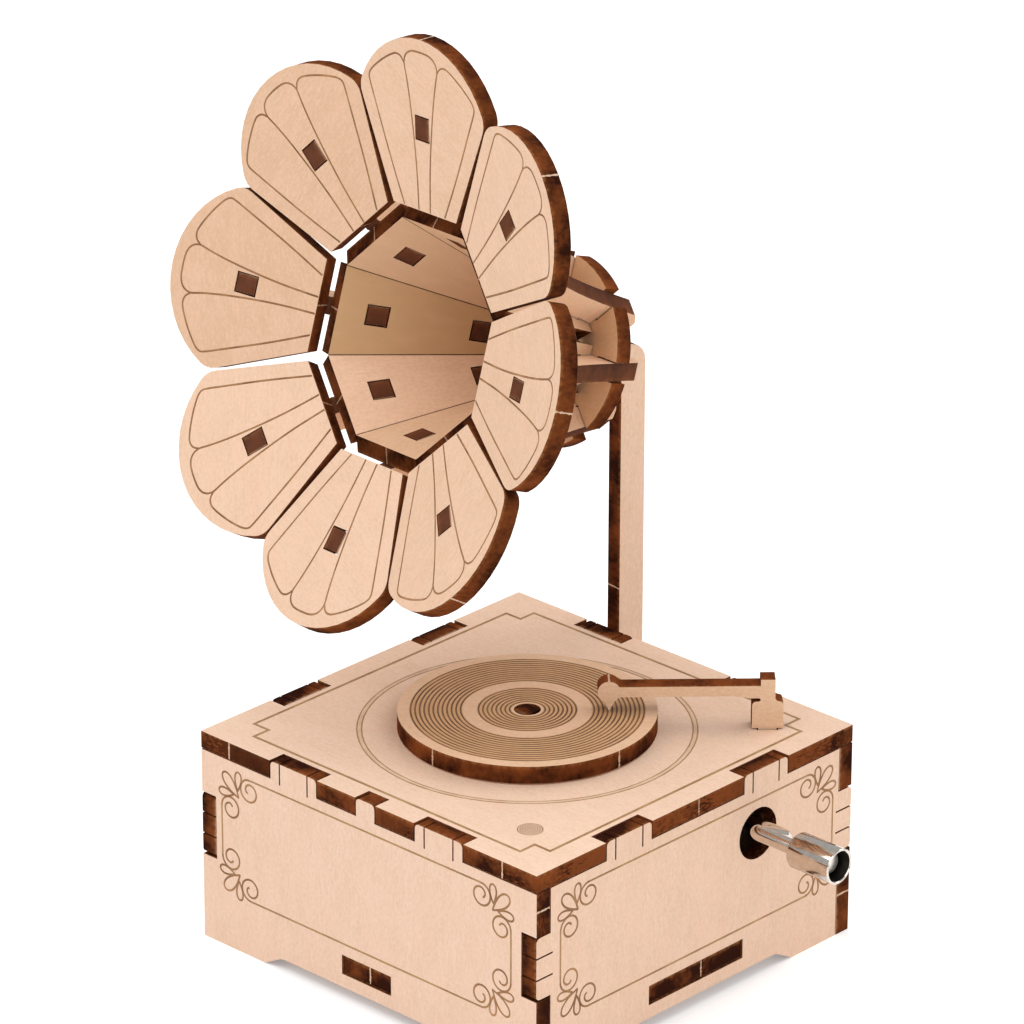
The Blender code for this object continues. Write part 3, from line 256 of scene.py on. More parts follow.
def blendColour(tree, share, first, second, mode="MIX"):
    node = tree.nodes.new("ShaderNodeMix")
    node.data_type = "RGBA"
    node.blend_type = mode
    wire(tree, share, node.inputs["Factor"])
    wire(tree, first, node.inputs["A"])
    wire(tree, second, node.inputs["B"])
    return node.outputs["Result"]


plyLook = {
    "light": (0.83, 0.592, 0.440, 1), "dark": (0.69, 0.455, 0.300, 1), "blush": (0.86, 0.545, 0.410, 1),
    "char": (0.028, 0.0070, 0.0032, 1), "ember": (0.205, 0.054, 0.0145, 1),
    # the scorch colour is the paler band near an edge's +z face, partly painted light
    "scorchAndLight": (0.36, 0.150, 0.052, 1),
    "bridge": (0.62, 0.42, 0.29, 1), "ash": (0.110, 0.047, 0.029, 1),
}
plyPattern = {
    # how close each noise lies along x, y and z of the board, per metre
    "clouds": (90, 260, 90), "fibres": (420, 3800, 900), "mottle": (1500, 2300, 1500),
    "blush": (130, 340, 130), "patches": (170, 170, 210), "soot": (1300, 1300, 900),
    # the face: what each noise adds, and the stretch of it that goes from dark to light
    "cloudShare": 0.18, "fibreShare": 0.30, "mottleShare": 0.52,
    "middleTone": 0.5, "grainRange": (0.30, 0.62),
    "blushScale": 1.3, "blushRange": (0.45, 0.75), "blushShare": 0.30,
    # the burnt edge, through its thickness too: partly real char, partly painted shade low on the edge and
    # painted light near its +z face
    "patchShare": 0.70, "sootShare": 0.30, "charAndShadeSlope": 42.0, "charRange": (0.36, 0.66),
    "rimRange": (0.00085, 0.00150), "rimSoot": (0.40, 0.62), "rimShare": (0.10, 0.65),
    "burnRange": (0.000003, 0.000009),
    # the surface: face first, then edge
    "roughness": (0.62, 0.82), "shine": (0.20, 0.02), "fibreHeight": 0.6, "bump": (0.22, 0.00006),
}


def makePlywoodGroup(look, pattern):
    # pale birch faces, and burnt edges wherever the laser has cut through
    tree, source, sink = newGroup(
        "laserCutPly",
        [
            ("Vector", "NodeSocketVector", None),
            ("Half Thickness", "NodeSocketFloat", ply / 2),
            ("Tone", "NodeSocketFloat", pattern["middleTone"]),
            ("Soot", "NodeSocketFloat", 0.0),
            ("Tint", "NodeSocketColor", (1, 1, 1, 1)),
        ],
        [
            ("Color", "NodeSocketColor"), ("Roughness", "NodeSocketFloat"),
            ("Height", "NodeSocketFloat"), ("Burn", "NodeSocketFloat"),
        ],
    )
    vector = source.outputs["Vector"]
    clouds = noise(tree, stretched(tree, vector, pattern["clouds"]), 1.0, 2)
    fibres = noise(tree, stretched(tree, vector, pattern["fibres"]), 1.0, 3, 0.6)
    mottle = noise(tree, stretched(tree, vector, pattern["mottle"]), 1.0, 3, 0.65)
    cloudy = maths(tree, "MULTIPLY", clouds, pattern["cloudShare"])
    grain = maths(tree, "ADD", cloudy, maths(tree, "MULTIPLY", fibres, pattern["fibreShare"]))
    grain = maths(tree, "ADD", grain, maths(tree, "MULTIPLY", mottle, pattern["mottleShare"]))
    tone = maths(tree, "SUBTRACT", source.outputs["Tone"], pattern["middleTone"])
    grain = maths(tree, "ADD", grain, tone)
    face = blendColour(tree, remap(tree, grain, *pattern["grainRange"]), look["dark"], look["light"])
    blush = noise(tree, stretched(tree, vector, pattern["blush"]), pattern["blushScale"], 2)
    blushShare = remap(tree, blush, *pattern["blushRange"], 0.0, pattern["blushShare"])
    face = blendColour(tree, blushShare, face, look["blush"])
    face = blendColour(tree, 1.0, face, source.outputs["Tint"], "MULTIPLY")

    parted = tree.nodes.new("ShaderNodeSeparateXYZ")
    wire(tree, vector, parted.inputs[0])
    depth = maths(tree, "ABSOLUTE", parted.outputs["Z"])
    # the char comes in slow patches, paler towards the +z face and darker towards -z: partly real char,
    # partly painted shade low on the edges of flat boards
    patches = noise(tree, stretched(tree, vector, pattern["patches"]), 1.0, 2, 0.5)
    soot = noise(tree, stretched(tree, vector, pattern["soot"]), 1.0, 3, 0.6)
    patchy = maths(tree, "MULTIPLY", patches, pattern["patchShare"])
    char = maths(tree, "ADD", patchy, maths(tree, "MULTIPLY", soot, pattern["sootShare"]))
    char = maths(tree, "ADD", char, maths(tree, "MULTIPLY", parted.outputs["Z"], pattern["charAndShadeSlope"]))
    char = maths(tree, "SUBTRACT", char, source.outputs["Soot"])
    burnt = blendColour(tree, remap(tree, char, *pattern["charRange"]), look["char"], look["ember"])
    # a paler band near the +z face: partly real scorch, partly painted light on the upper part of the edge
    rim = remap(tree, parted.outputs["Z"], *pattern["rimRange"])
    rim = maths(tree, "MULTIPLY", rim, remap(tree, soot, *pattern["rimSoot"], *pattern["rimShare"]))
    burnt = blendColour(tree, rim, burnt, look["scorchAndLight"])

    past = maths(tree, "SUBTRACT", source.outputs["Half Thickness"], depth)
    burn = remap(tree, past, *pattern["burnRange"])
    wire(tree, blendColour(tree, burn, face, burnt), sink.inputs["Color"])
    wire(tree, remap(tree, burn, 0.0, 1.0, *pattern["roughness"]), sink.inputs["Roughness"])
    height = maths(tree, "MULTIPLY", fibres, pattern["fibreHeight"])
    height = maths(tree, "ADD", height, maths(tree, "MULTIPLY", soot, burn))
    wire(tree, height, sink.inputs["Height"])
    wire(tree, burn, sink.inputs["Burn"])
    return tree


markShape = {
    "ragged": (900, 900, 2600), "raggedRange": (0.35, 0.65), "reachRange": (0.45, 1.15), "soft": 0.28,
}


def makeMarkGroup(shape):
    # a ragged mark on the burnt edge, within reach of a place on the board's outline
    tree, source, sink = newGroup(
        "edgeMark",
        [
            ("Vector", "NodeSocketVector", None),
            ("Place", "NodeSocketVector", None),
            ("Reach", "NodeSocketFloat", 0.0002),
            ("Burn", "NodeSocketFloat", 0.0),
        ],
        [("Mask", "NodeSocketFloat")],
    )
    level = stretched(tree, source.outputs["Vector"], (1, 1, 0))
    ragged = noise(tree, stretched(tree, source.outputs["Vector"], shape["ragged"]), 1.0, 2, 0.6)
    gap = tree.nodes.new("ShaderNodeVectorMath")
    gap.operation = "DISTANCE"
    wire(tree, level, gap.inputs[0])
    wire(tree, source.outputs["Place"], gap.inputs[1])
    growth = remap(tree, ragged, *shape["raggedRange"], *shape["reachRange"])
    reach = maths(tree, "MULTIPLY", growth, source.outputs["Reach"])
    softness = maths(tree, "MULTIPLY", source.outputs["Reach"], shape["soft"])
    inside = maths(tree, "DIVIDE", maths(tree, "SUBTRACT", reach, gap.outputs["Value"]), softness, True)
    wire(tree, maths(tree, "MULTIPLY", inside, source.outputs["Burn"]), sink.inputs["Mask"])
    return tree


def makeGrooveGroup(look):
    # the rings' bands on the record, tanned by the heat of the engraving
    tree, source, sink = newGroup(
        "grooveBands",
        [("Vector", "NodeSocketVector", None), ("Color", "NodeSocketColor", (0.8, 0.6, 0.45, 1))],
        [("Color", "NodeSocketColor")],
    )
    level = stretched(tree, source.outputs["Vector"], (1, 1, 0))
    radius = tree.nodes.new("ShaderNodeVectorMath")
    radius.operation = "LENGTH"
    wire(tree, level, radius.inputs[0])
    colour = source.outputs["Color"]
    soft = look["bandSoftness"]
    for inner, outer in look["bands"]:
        start = remap(tree, radius.outputs["Value"], inner - soft, inner + soft)
        stop = remap(tree, radius.outputs["Value"], outer - soft, outer + soft, 1.0, 0.0)
        share = maths(tree, "MULTIPLY", maths(tree, "MULTIPLY", start, stop), look["share"])
        colour = blendColour(tree, share, colour, look["tan"], "MULTIPLY")
    wire(tree, colour, sink.inputs["Color"])
    return tree


recordLines = {
    # first and last radius of the rings, and how many
    "outer": (0.0190, 0.01085, 12),
    "inner": (0.00795, 0.0029, 8),
    "width": 0.00030, "steps": 96,
    "bands": ((0.0026, 0.0082), (0.0106, 0.0192)),
    "bandSoftness": 0.00015, "tan": (0.78, 0.67, 0.49, 1), "share": 0.88,
}
plywoodGroup = makePlywoodGroup(plyLook, plyPattern)
markGroup = makeMarkGroup(markShape)
grooveGroup = makeGrooveGroup(recordLines)


def groupNode(tree, group, vector):
    node = tree.nodes.new("ShaderNodeGroup")
    node.node_tree = group
    tree.links.new(vector, node.inputs["Vector"])
    return node


def boardMaterial(name, matrix, tone, grainTurn, tint, marks=(), soot=0.0, grooves=None):
    # one board's own plywood: the mapping brings the pattern onto its faces
    material = bpy.data.materials.new(name)
    material.use_nodes = True
    tree = material.node_tree
    shader = tree.nodes["Principled BSDF"]
    where = tree.nodes.new("ShaderNodeTexCoord")
    mapping = tree.nodes.new("ShaderNodeMapping")
    mapping.vector_type = "TEXTURE"
    turned = matrix @ Matrix.Rotation(grainTurn, 4, "Z")
    mapping.inputs["Location"].default_value = turned.translation
    mapping.inputs["Rotation"].default_value = turned.to_euler()
    tree.links.new(where.outputs["Object"], mapping.inputs["Vector"])
    vector = mapping.outputs["Vector"]
    wood = groupNode(tree, plywoodGroup, vector)
    wood.inputs["Tone"].default_value = tone
    wood.inputs["Soot"].default_value = soot
    wood.inputs["Tint"].default_value = (*tint, 1)
    colour = wood.outputs["Color"]
    if grooves:
        bands = groupNode(tree, grooves, vector)
        tree.links.new(colour, bands.inputs["Color"])
        colour = blendColour(tree, wood.outputs["Burn"], bands.outputs["Color"], colour)
    for (x, y), kind in marks:
        look = markLooks[kind]
        mark = groupNode(tree, markGroup, vector)
        mark.inputs["Place"].default_value = Matrix.Rotation(-grainTurn, 3, "Z") @ Vector((x, y, 0))
        mark.inputs["Reach"].default_value = look["reach"]
        tree.links.new(wood.outputs["Burn"], mark.inputs["Burn"])
        share = maths(tree, "MULTIPLY", mark.outputs["Mask"], look["share"])
        colour = blendColour(tree, share, colour, plyLook[look["colour"]])
    bump = tree.nodes.new("ShaderNodeBump")
    strength, distance = plyPattern["bump"]
    bump.inputs["Strength"].default_value = strength
    bump.inputs["Distance"].default_value = distance
    tree.links.new(wood.outputs["Height"], bump.inputs["Height"])
    tree.links.new(bump.outputs["Normal"], shader.inputs["Normal"])
    tree.links.new(colour, shader.inputs["Base Color"])
    tree.links.new(wood.outputs["Roughness"], shader.inputs["Roughness"])
    shine = remap(tree, wood.outputs["Burn"], 0.0, 1.0, *plyPattern["shine"])
    wire(tree, shine, shader.inputs["Specular IOR Level"])
    return material


def dress(name, material):
    data = nodes[name].data
    data.materials.clear()
    data.materials.append(material)


# tone and grain direction of each board, then the tint of each family; the rear disc's tone and tint, and
# the tints of the top plate and the front and right panels, hold painted shade and light
boardTonesAndShade = {
    "top_plate": (0.55, 0.0), "floor_plate": (0.45, quarter), "front_panel": (0.53, quarter),
    "back_panel": (0.50, quarter), "left_panel": (0.50, quarter), "right_panel": (0.52, quarter),
    "record_disc": (0.44, 0.6), "record_peg": (0.45, 0.0), "tonearm": (0.49, 0.0),
    # the rear disc's low tone is painted shade, for a disc deep inside the horn
    "horn_post": (0.48, quarter), "horn_rear_disc": (0.30, 0.3),
}
boardTintsAndShade = {
    # painted shade: the rear disc's dark tint; painted light on the lid: the top plate's paler tint;
    # painted shade on the walls: the front and right panels' darker tints
    "tonearm": (1.0, 0.965, 0.88), "horn_rear_disc": (0.90, 0.86, 0.74),
    "record_disc": (1.02, 0.985, 0.90), "top_plate": (1.02, 1.035, 1.045),
    "front_panel": (0.925, 0.92, 0.935), "right_panel": (0.955, 0.937, 0.93),
    "record_peg": (0.42, 0.32, 0.25),
}
boardSoot = {
    "record_peg": 0.12, "floor_plate": 0.10, "left_panel": 0.05,
    "right_panel": 0.05, "tonearm": -0.10, "horn_post": 0.06,
}
# petals and funnel boards are painted darker or lighter one by one, as painted shade and light for how the
# light falls on each; the funnel boards sit darker for the shade inside the funnel
hornTonesAndShade = {
    "horn_petal": (0.48, 0.51, 0.46, 0.37, 0.35, 0.56, 0.57, 0.49),
    "horn_panel": (0.34, 0.34, 0.30, 0.26, 0.14, 0.54, 0.46, 0.34),
    "horn_rib": (0.45, 0.43, 0.46, 0.44, 0.41, 0.46, 0.42, 0.44),
}
hornTintsAndShade = {
    # the petal and funnel-board tints are darkened as painted shade on the horn's faces; the rib tint is
    # the wood's own
    "horn_petal": (0.925, 0.89, 0.855), "horn_rib": (1.0, 0.94, 0.86), "horn_panel": (0.97, 0.93, 0.84),
}
# painted shade on funnel boards 4 and 5, painted light on funnel board 6, for how the light falls inside
# the funnel
panelShadeAndLight = {4: (0.99, 0.97, 0.90), 5: (0.88, 0.85, 0.68), 6: (1.08, 1.06, 1.01)}
# the petals were cut at various angles to the grain
petalGrain = {"swing": 0.5, "step": 1.7}
# marks on the edges: bridges that held the board in its sheet, heavy soot and lighter burns, painted shade
# on the crank hole's wall, and darker edges all along the ribs
markLooks = {
    "bridge": {"colour": "bridge", "reach": 0.00022, "share": 1.0},
    "faintBridge": {"colour": "bridge", "reach": 0.00018, "share": 0.65},
    "soot": {"colour": "char", "reach": 0.0160, "share": 0.70},
    # hole: near-black char on the crank hole's wall, painted shade inside the hole over the real char
    "hole": {"colour": "char", "reach": 0.0095, "share": 1.0},
    "glow": {"colour": "ember", "reach": 0.0200, "share": 0.75},
    "warmth": {"colour": "ember", "reach": 0.0110, "share": 0.35},
    # darker edges all along each rib
    "ribEdgeDarkening": {"colour": "ash", "reach": 0.1200, "share": 0.60},
}
recordTurns = [math.radians(-2.5 + 90 * step) for step in range(4)]
bridgePlaces = {
    "top_plate": [(-0.0310, -0.0375), (0.0301, -0.0375), (-0.0375, 0.0120), (0.0120, 0.0375)],
    "floor_plate": [(0.0372, 0.0015), (0.0006, -0.0372)],
    "front_panel": [(0.0375, 0.0261)],
    "back_panel": [(0.0375, 0.0024), (-0.0375, 0.0261)],
    "record_disc": [(recordRadius * math.cos(turn), recordRadius * math.sin(turn)) for turn in recordTurns],
    "tonearm": [(0.0132, 0.0088)],
    "horn_post": [(0.0, 0.0403), (0.0052, 0.0603)],
}
otherMarks = {
    "top_plate": [((-0.0260, -0.0375), "soot"), ((0.0375, -0.0200), "glow"), ((0.0375, 0.0150), "glow"),
                  ((0.0040, -0.0375), "warmth"), ((0.0375, 0.0001), "faintBridge")],
    "front_panel": [((0.0375, 0.0150), "soot")],
    # painted shade on the crank hole's wall
    "right_panel": [((0.0145, 0.0212), "hole")],
    "horn_panel": [((0.0, 0.0), "faintBridge")],
    # darker edges all along each rib
    "horn_rib": [((0.0, 0.0), "ribEdgeDarkening")],
    "horn_petal": [((0.0003, 0.0), "faintBridge"), ((0.0290, 0.0), "bridge")],
}
for nodeName, matrix in boards.items():
    if nodeName in boardTonesAndShade:
        family = nodeName
        tone, grainTurn = boardTonesAndShade[nodeName]
        tint = boardTintsAndShade.get(nodeName, (1, 1, 1))
    else:
        family, number = nodeName.rsplit("_", 1)
        number = int(number)
        tone = hornTonesAndShade[family][number - 1]
        tint = panelShadeAndLight.get(number, hornTintsAndShade[family]) if family == "horn_panel" else hornTintsAndShade[family]
        grainTurn = 0.0
        if family == "horn_petal":
            grainTurn = quarter + petalGrain["swing"] * math.sin(petalGrain["step"] * number)
    marks = otherMarks.get(family, []) + [(spot, "bridge") for spot in bridgePlaces.get(nodeName, [])]
    soot = boardSoot.get(nodeName, 0.0)
    grooves = grooveGroup if nodeName == "record_disc" else None
    dress(nodeName, boardMaterial(nodeName + "Ply", matrix, tone, grainTurn, tint, marks, soot, grooves))
print("boards dressed:", len(boards))

# engraved lines: flat burnt threads in the boards' faces

# how far the threads stand out of a face, and what their material is like
threadHeight = 0.000024
threadSurface = {"scale": 260, "shade": (0.35, 0.68), "wear": (0.3, 0.7), "roughness": (0.70, 0.85)}
engravingLook = {"dark": (0.20, 0.082, 0.026, 1), "pale": (0.40, 0.205, 0.082, 1)}
goldenLook = {"dark": (0.31, 0.160, 0.058, 1), "pale": (0.47, 0.275, 0.118, 1)}
bandLook = {"dark": (0.66, 0.440, 0.290, 1), "pale": (0.76, 0.540, 0.385, 1)}
grooveLook = {"dark": (0.115, 0.050, 0.019, 1), "pale": (0.26, 0.130, 0.055, 1)}
seamLook = {"dark": (0.060, 0.026, 0.012, 1), "pale": (0.17, 0.085, 0.040, 1)}


def makeEngravingMaterial(name, values):
    material = bpy.data.materials.new(name)
    material.use_nodes = True
    tree = material.node_tree
    shader = tree.nodes["Principled BSDF"]
    where = tree.nodes.new("ShaderNodeTexCoord")
    flicker = noise(tree, where.outputs["Object"], threadSurface["scale"], 3, 0.6)
    share = remap(tree, flicker, *threadSurface["shade"])
    wire(tree, blendColour(tree, share, values["dark"], values["pale"]), shader.inputs["Base Color"])
    rough = remap(tree, flicker, *threadSurface["wear"], *threadSurface["roughness"])
    wire(tree, rough, shader.inputs["Roughness"])
    return material


engravedLine = makeEngravingMaterial("engravedLine", engravingLook)
goldenLine = makeEngravingMaterial("goldenLine", goldenLook)
tannedBand = makeEngravingMaterial("tannedBand", bandLook)
recordGroove = makeEngravingMaterial("recordGroove", grooveLook)
seamSoot = makeEngravingMaterial("seamSoot", seamLook)


def softened(points, radius, closed=False, steps=5):
    # rounds each inner corner of a line
    points = [Vector(point) for point in points]
    found = []
    for index, corner in enumerate(points):
        if not closed and index in (0, len(points) - 1):
            found.append(tuple(corner))
            continue
        before = points[index - 1] - corner
        after = points[(index + 1) % len(points)] - corner
        reach = min(radius, before.length / 2, after.length / 2)
        first, last = corner + before.normalized() * reach, corner + after.normalized() * reach
        for step in range(steps + 1):
            t = step / steps
            found.append(tuple(first * (1 - t) ** 2 + corner * 2 * t * (1 - t) + last * t * t))
    return found


def ring(centre, radius, steps=72):
    turns = [2 * math.pi * step / steps for step in range(steps)]
    return [(centre[0] + radius * math.cos(a), centre[1] + radius * math.sin(a)) for a in turns]


def threads(name, lines, width):
    # thin round threads along lines of points, as one working mesh
    curve = bpy.data.curves.new(name, "CURVE")
    curve.dimensions = "3D"
    curve.bevel_depth = width / 2
    curve.bevel_resolution = 1
    curve.use_fill_caps = True
    for points, closed in lines:
        spline = curve.splines.new("POLY")
        spline.points.add(len(points) - 1)
        for point, spot in zip(spline.points, points):
            point.co = (*spot, 1)
        spline.use_cyclic_u = closed
    holder = bpy.data.objects.new(name + "Curve", curve)
    bpy.context.collection.objects.link(holder)
    bpy.context.view_layer.update()
    mesh = bpy.data.meshes.new_from_object(holder.evaluated_get(bpy.context.evaluated_depsgraph_get()))
    bpy.data.objects.remove(holder)
    work = bmesh.new()
    work.from_mesh(mesh)
    bpy.data.meshes.remove(mesh)
    bmesh.ops.remove_doubles(work, verts=work.verts, dist=1e-7)
    return work


def threadPiece(name, work, material, body):
    bmesh.ops.recalc_face_normals(work, faces=work.faces)
    mesh = bpy.data.meshes.new(name)
    work.to_mesh(mesh)
    work.free()
    mesh.materials.append(material)
    piece = bpy.data.objects.new(name, mesh)
    bpy.context.collection.objects.link(piece)
    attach(piece, body)


def engrave(name, lines, matrix, body, width, material=engravedLine):
    # lines on the board's face, flattened until they only just stand out of it
    work = threads(name, [([(x, y, 0) for x, y in points], closed) for points, closed in lines], width)
    bmesh.ops.scale(work, verts=work.verts, vec=(1, 1, threadHeight / (width / 2)))
    bmesh.ops.translate(work, verts=work.verts, vec=(0, 0, ply / 2))
    bmesh.ops.transform(work, matrix=matrix, verts=work.verts)
    threadPiece(name, work, material, body)


petalLines = {
    "width": 0.00033,
    # outward and sideways from the middle of the petal's inner edge, in millimetres
    "middleSide": [(0.4, 1.4), (7.0, 1.6), (13.0, 2.15), (18.4, 2.85), (22.0, 3.5)],
    "cusp": (24.4, 4.1),
    "middleEnd": [(25.5, 3.85), (26.3, 3.2), (26.75, 2.2), (26.88, 1.1), (26.9, 0.0)],
    "outerSide": [(0.5, 5.0), (8.0, 8.3), (15.7, 11.3), (19.0, 12.6)],
    "outerEnd": [(20.4, 13.05), (21.5, 12.35), (23.3, 10.2), (24.9, 7.6), (25.6, 6.0), (25.35, 4.8)],
}


def flowing(points):
    # a smooth curve through the middles of a rough line's stretches
    return softened([(x / 1000, y / 1000) for x, y in points], math.inf)


def petalEngraving(look):
    # three lobes that meet at a cusp on each side of the middle one
    middle = flowing([*look["middleSide"], look["cusp"], *look["middleEnd"]])
    outer = flowing([*look["outerSide"], *look["outerEnd"], look["cusp"]])
    lines = []
    for points in (middle, outer):
        lines.append((points, False))
        lines.append(([(x, -y) for x, y in points], False))
    return lines


for number in range(1, horn["sectors"] + 1):
    petal, lines = boards[f"horn_petal_{number}"], petalEngraving(petalLines)
    engrave(f"petalEngraving{number}", lines, petal, "box", petalLines["width"])
print("petals engraved")

ornament = {
    "spiralCentre": (6.45, 2.05), "spiralRadius": 2.05, "spiralFade": 1.55,
    "spiralStart": 90, "spiralTurn": 500, "spiralSteps": 40,
    "middleLobe": ((3.95, 3.95), (0.45, 0.45), 1.36),
    "sideLobe": ((3.75, 2.80), (3.95, -0.60), 0.95),
}


def teardrop(cusp, tip, swell, steps=28):
    # a leaf that is pointed at the cusp and round at the tip
    cusp, tip = Vector(cusp), Vector(tip)
    across = Vector((-(tip - cusp).y, (tip - cusp).x)).normalized()
    found = []
    for step in range(steps):
        t = 2 * math.pi * step / steps
        along = (1 - math.cos(t)) / 2
        found.append(tuple(cusp + (tip - cusp) * along + across * swell * math.sin(t) * math.sin(t / 2)))
    return found


def scroll(look):
    # a volute that starts on the frame line and winds inwards
    centre, found = look["spiralCentre"], []
    for step in range(look["spiralSteps"] + 1):
        share = step / look["spiralSteps"]
        angle = math.radians(look["spiralStart"] + look["spiralTurn"] * share)
        radius = look["spiralRadius"] - look["spiralFade"] * share * share
        found.append((centre[0] + radius * math.cos(angle), centre[1] - radius * math.sin(angle)))
    return found


def mirrored(points):
    return [(y, x) for x, y in points]


def cornerOrnament(look):
    # two volutes and three leaves, inwards from the corner of the frame, in millimetres
    volute, leaf = scroll(look), teardrop(*look["sideLobe"])
    return [
        (volute, False), (mirrored(volute), False),
        (teardrop(*look["middleLobe"]), True), (leaf, True), (mirrored(leaf), True),
    ]


panelFrame = {"top": 0.0273, "bottom": 0.0053, "frameWidth": 0.00036, "ornamentWidth": 0.00037}


def frameLines(values, look, low, high):
    # the four straight lines of a frame, from low to high along the board
    top, bottom = values["top"], values["bottom"]
    start = look["spiralCentre"][0] / 1000
    lines = [([(low + start, y), (high - start, y)], False) for y in (top, bottom)]
    return lines + [([(x, bottom + start), (x, top - start)], False) for x in (low, high)]


def cornerLines(values, look, low, high):
    # the four corner ornaments, each turned inwards
    lines = []
    for x, sideways in ((low, 1), (high, -1)):
        for y, inward in ((values["top"], -1), (values["bottom"], 1)):
            for points, closed in cornerOrnament(look):
                moved = [(x + sideways * a / 1000, y + inward * b / 1000) for a, b in points]
                lines.append((moved, closed))
    return lines


turnedOver = Matrix.Rotation(math.pi, 4, "Y")
panelFrames = {
    "front": (boards["front_panel"], -0.0329, 0.0320),
    "right": (boards["right_panel"], -0.0320, 0.0329),
    "back": (boards["back_panel"] @ turnedOver, -0.0325, 0.0325),
    "left": (boards["left_panel"] @ turnedOver, -0.0325, 0.0325),
}
for side, (matrix, low, high) in panelFrames.items():
    straight = frameLines(panelFrame, ornament, low, high)
    corners = cornerLines(panelFrame, ornament, low, high)
    engrave(side + "Frame", straight, matrix, "box", panelFrame["frameWidth"], goldenLine)
    engrave(side + "Ornament", corners, matrix, "box", panelFrame["ornamentWidth"])

plateLines = {
    "border": 0.03305, "notch": 0.0033, "borderWidth": 0.00078,
    "band": 0.02735, "bandWidth": 0.00085, "bandEdges": (0.02700, 0.02772), "edgeWidth": 0.00028,
    "badge": (0.0256, -0.0264), "badgeRings": (0.0004, 0.0008, 0.0012, 0.0016, 0.0020),
    "badgeWidth": 0.00020, "badgeSteps": 36,
}


def plateBorder(values):
    edge, step = values["border"], values["border"] - values["notch"]
    quarterLine = [(edge, -step), (edge, step), (step, step), (step, edge)]
    border = []
    for turn in range(4):
        cos, sin = (1, 0, -1, 0)[turn], (0, 1, 0, -1)[turn]
        border += [(x * cos - y * sin, x * sin + y * cos) for x, y in quarterLine]
    return [(border, True)]


plate = boards["top_plate"]
plateBand = [(ring((0, 0), plateLines["band"]), True)]
bandEdges = [(ring((0, 0), radius), True) for radius in plateLines["bandEdges"]]
badgeSpot, badgeSteps = plateLines["badge"], plateLines["badgeSteps"]
badge = [(ring(badgeSpot, radius, badgeSteps), True) for radius in plateLines["badgeRings"]]
border = plateBorder(plateLines)
engrave("plateBorder", border, plate, "box", plateLines["borderWidth"], goldenLine)
engrave("plateBand", plateBand, plate, "box", plateLines["bandWidth"], tannedBand)
engrave("plateBandEdges", bandEdges, plate, "box", plateLines["edgeWidth"], goldenLine)
engrave("plateBadge", badge, plate, "box", plateLines["badgeWidth"])


def recordEngraving(values):
    lines = []
    for first, last, count in (values["outer"], values["inner"]):
        for index in range(count):
            radius = first + (last - first) * index / (count - 1)
            lines.append((ring((0, 0), radius, values["steps"]), True))
    return lines


recordRings, recordPlace = recordEngraving(recordLines), boards["record_disc"]
ringWidth = recordLines["width"]
engrave("recordGrooves", recordRings, recordPlace, "turntable", ringWidth, recordGroove)


def funnelSeams(values, axis):
    # the burnt arrises where neighbouring funnel boards meet, one thread along each
    half = math.pi / values["sectors"]
    lines = []
    for number in range(values["sectors"]):
        turn = values["roll"] + half * (2 * number + 1)
        line = []
        for depth in (values["seamStart"], values["discDepth"] - values["seamShort"]):
            apothem = values["apothem"] * (1 - depth / values["coneLength"])
            radius = (apothem + values["seamBehind"]) / math.cos(half)
            line.append(tuple(axis @ Vector((radius * math.cos(turn), radius * math.sin(turn), -depth))))
        lines.append((line, False))
    return lines


seams = threads("funnelSeams", funnelSeams(horn, hornAxis), horn["seamWidth"])
threadPiece("funnelSeams", seams, seamSoot, "box")
print("plate, panels, record and seams engraved")

# the record again, with the round hole that the photograph shows

record = {"radius": recordRadius, "hole": 0.0022, "steps": 128}


def makeRecord(values, matrix):
    work = bmesh.new()
    for radius in (values["radius"], values["hole"]):
        bmesh.ops.create_circle(work, cap_ends=False, radius=radius, segments=values["steps"],
                                matrix=Matrix.Translation((0, 0, -ply / 2)))
    bmesh.ops.bridge_loops(work, edges=work.edges[:])
    grown = bmesh.ops.extrude_face_region(work, geom=work.faces[:])["geom"]
    top = [item for item in grown if isinstance(item, bmesh.types.BMVert)]
    bmesh.ops.translate(work, verts=top, vec=(0, 0, ply))
    bmesh.ops.recalc_face_normals(work, faces=work.faces)
    bmesh.ops.transform(work, matrix=matrix, verts=work.verts)
    return work


def finished(name, work, materials, body, replaced, smoothAngle=35):
    mesh = bpy.data.meshes.new(name)
    for face in work.faces:
        face.smooth = True
    for edge in work.edges:
        if len(edge.link_faces) == 2 and edge.calc_face_angle(0) > math.radians(smoothAngle):
            edge.smooth = False
    work.to_mesh(mesh)
    work.free()
    for material in materials:
        mesh.materials.append(material)
    piece = bpy.data.objects.new(name, mesh)
    bpy.context.collection.objects.link(piece)
    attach(piece, body)
    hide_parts(*replaced)


recordPly = nodes["record_disc"].data.materials[0]
recordWork = makeRecord(record, recordPlace)
finished("recordDisc", recordWork, [recordPly], "turntable", ["record_disc"])
print("record made")

# the crank, in nickel-plated wire with a turned knob

metalWear = {
    "scale": 900, "roughRange": (0.3, 0.7), "dullRange": (0.35, 0.75),
    "dull": (0.86, 0.84, 0.82), "bump": (0.12, 0.00002),
}


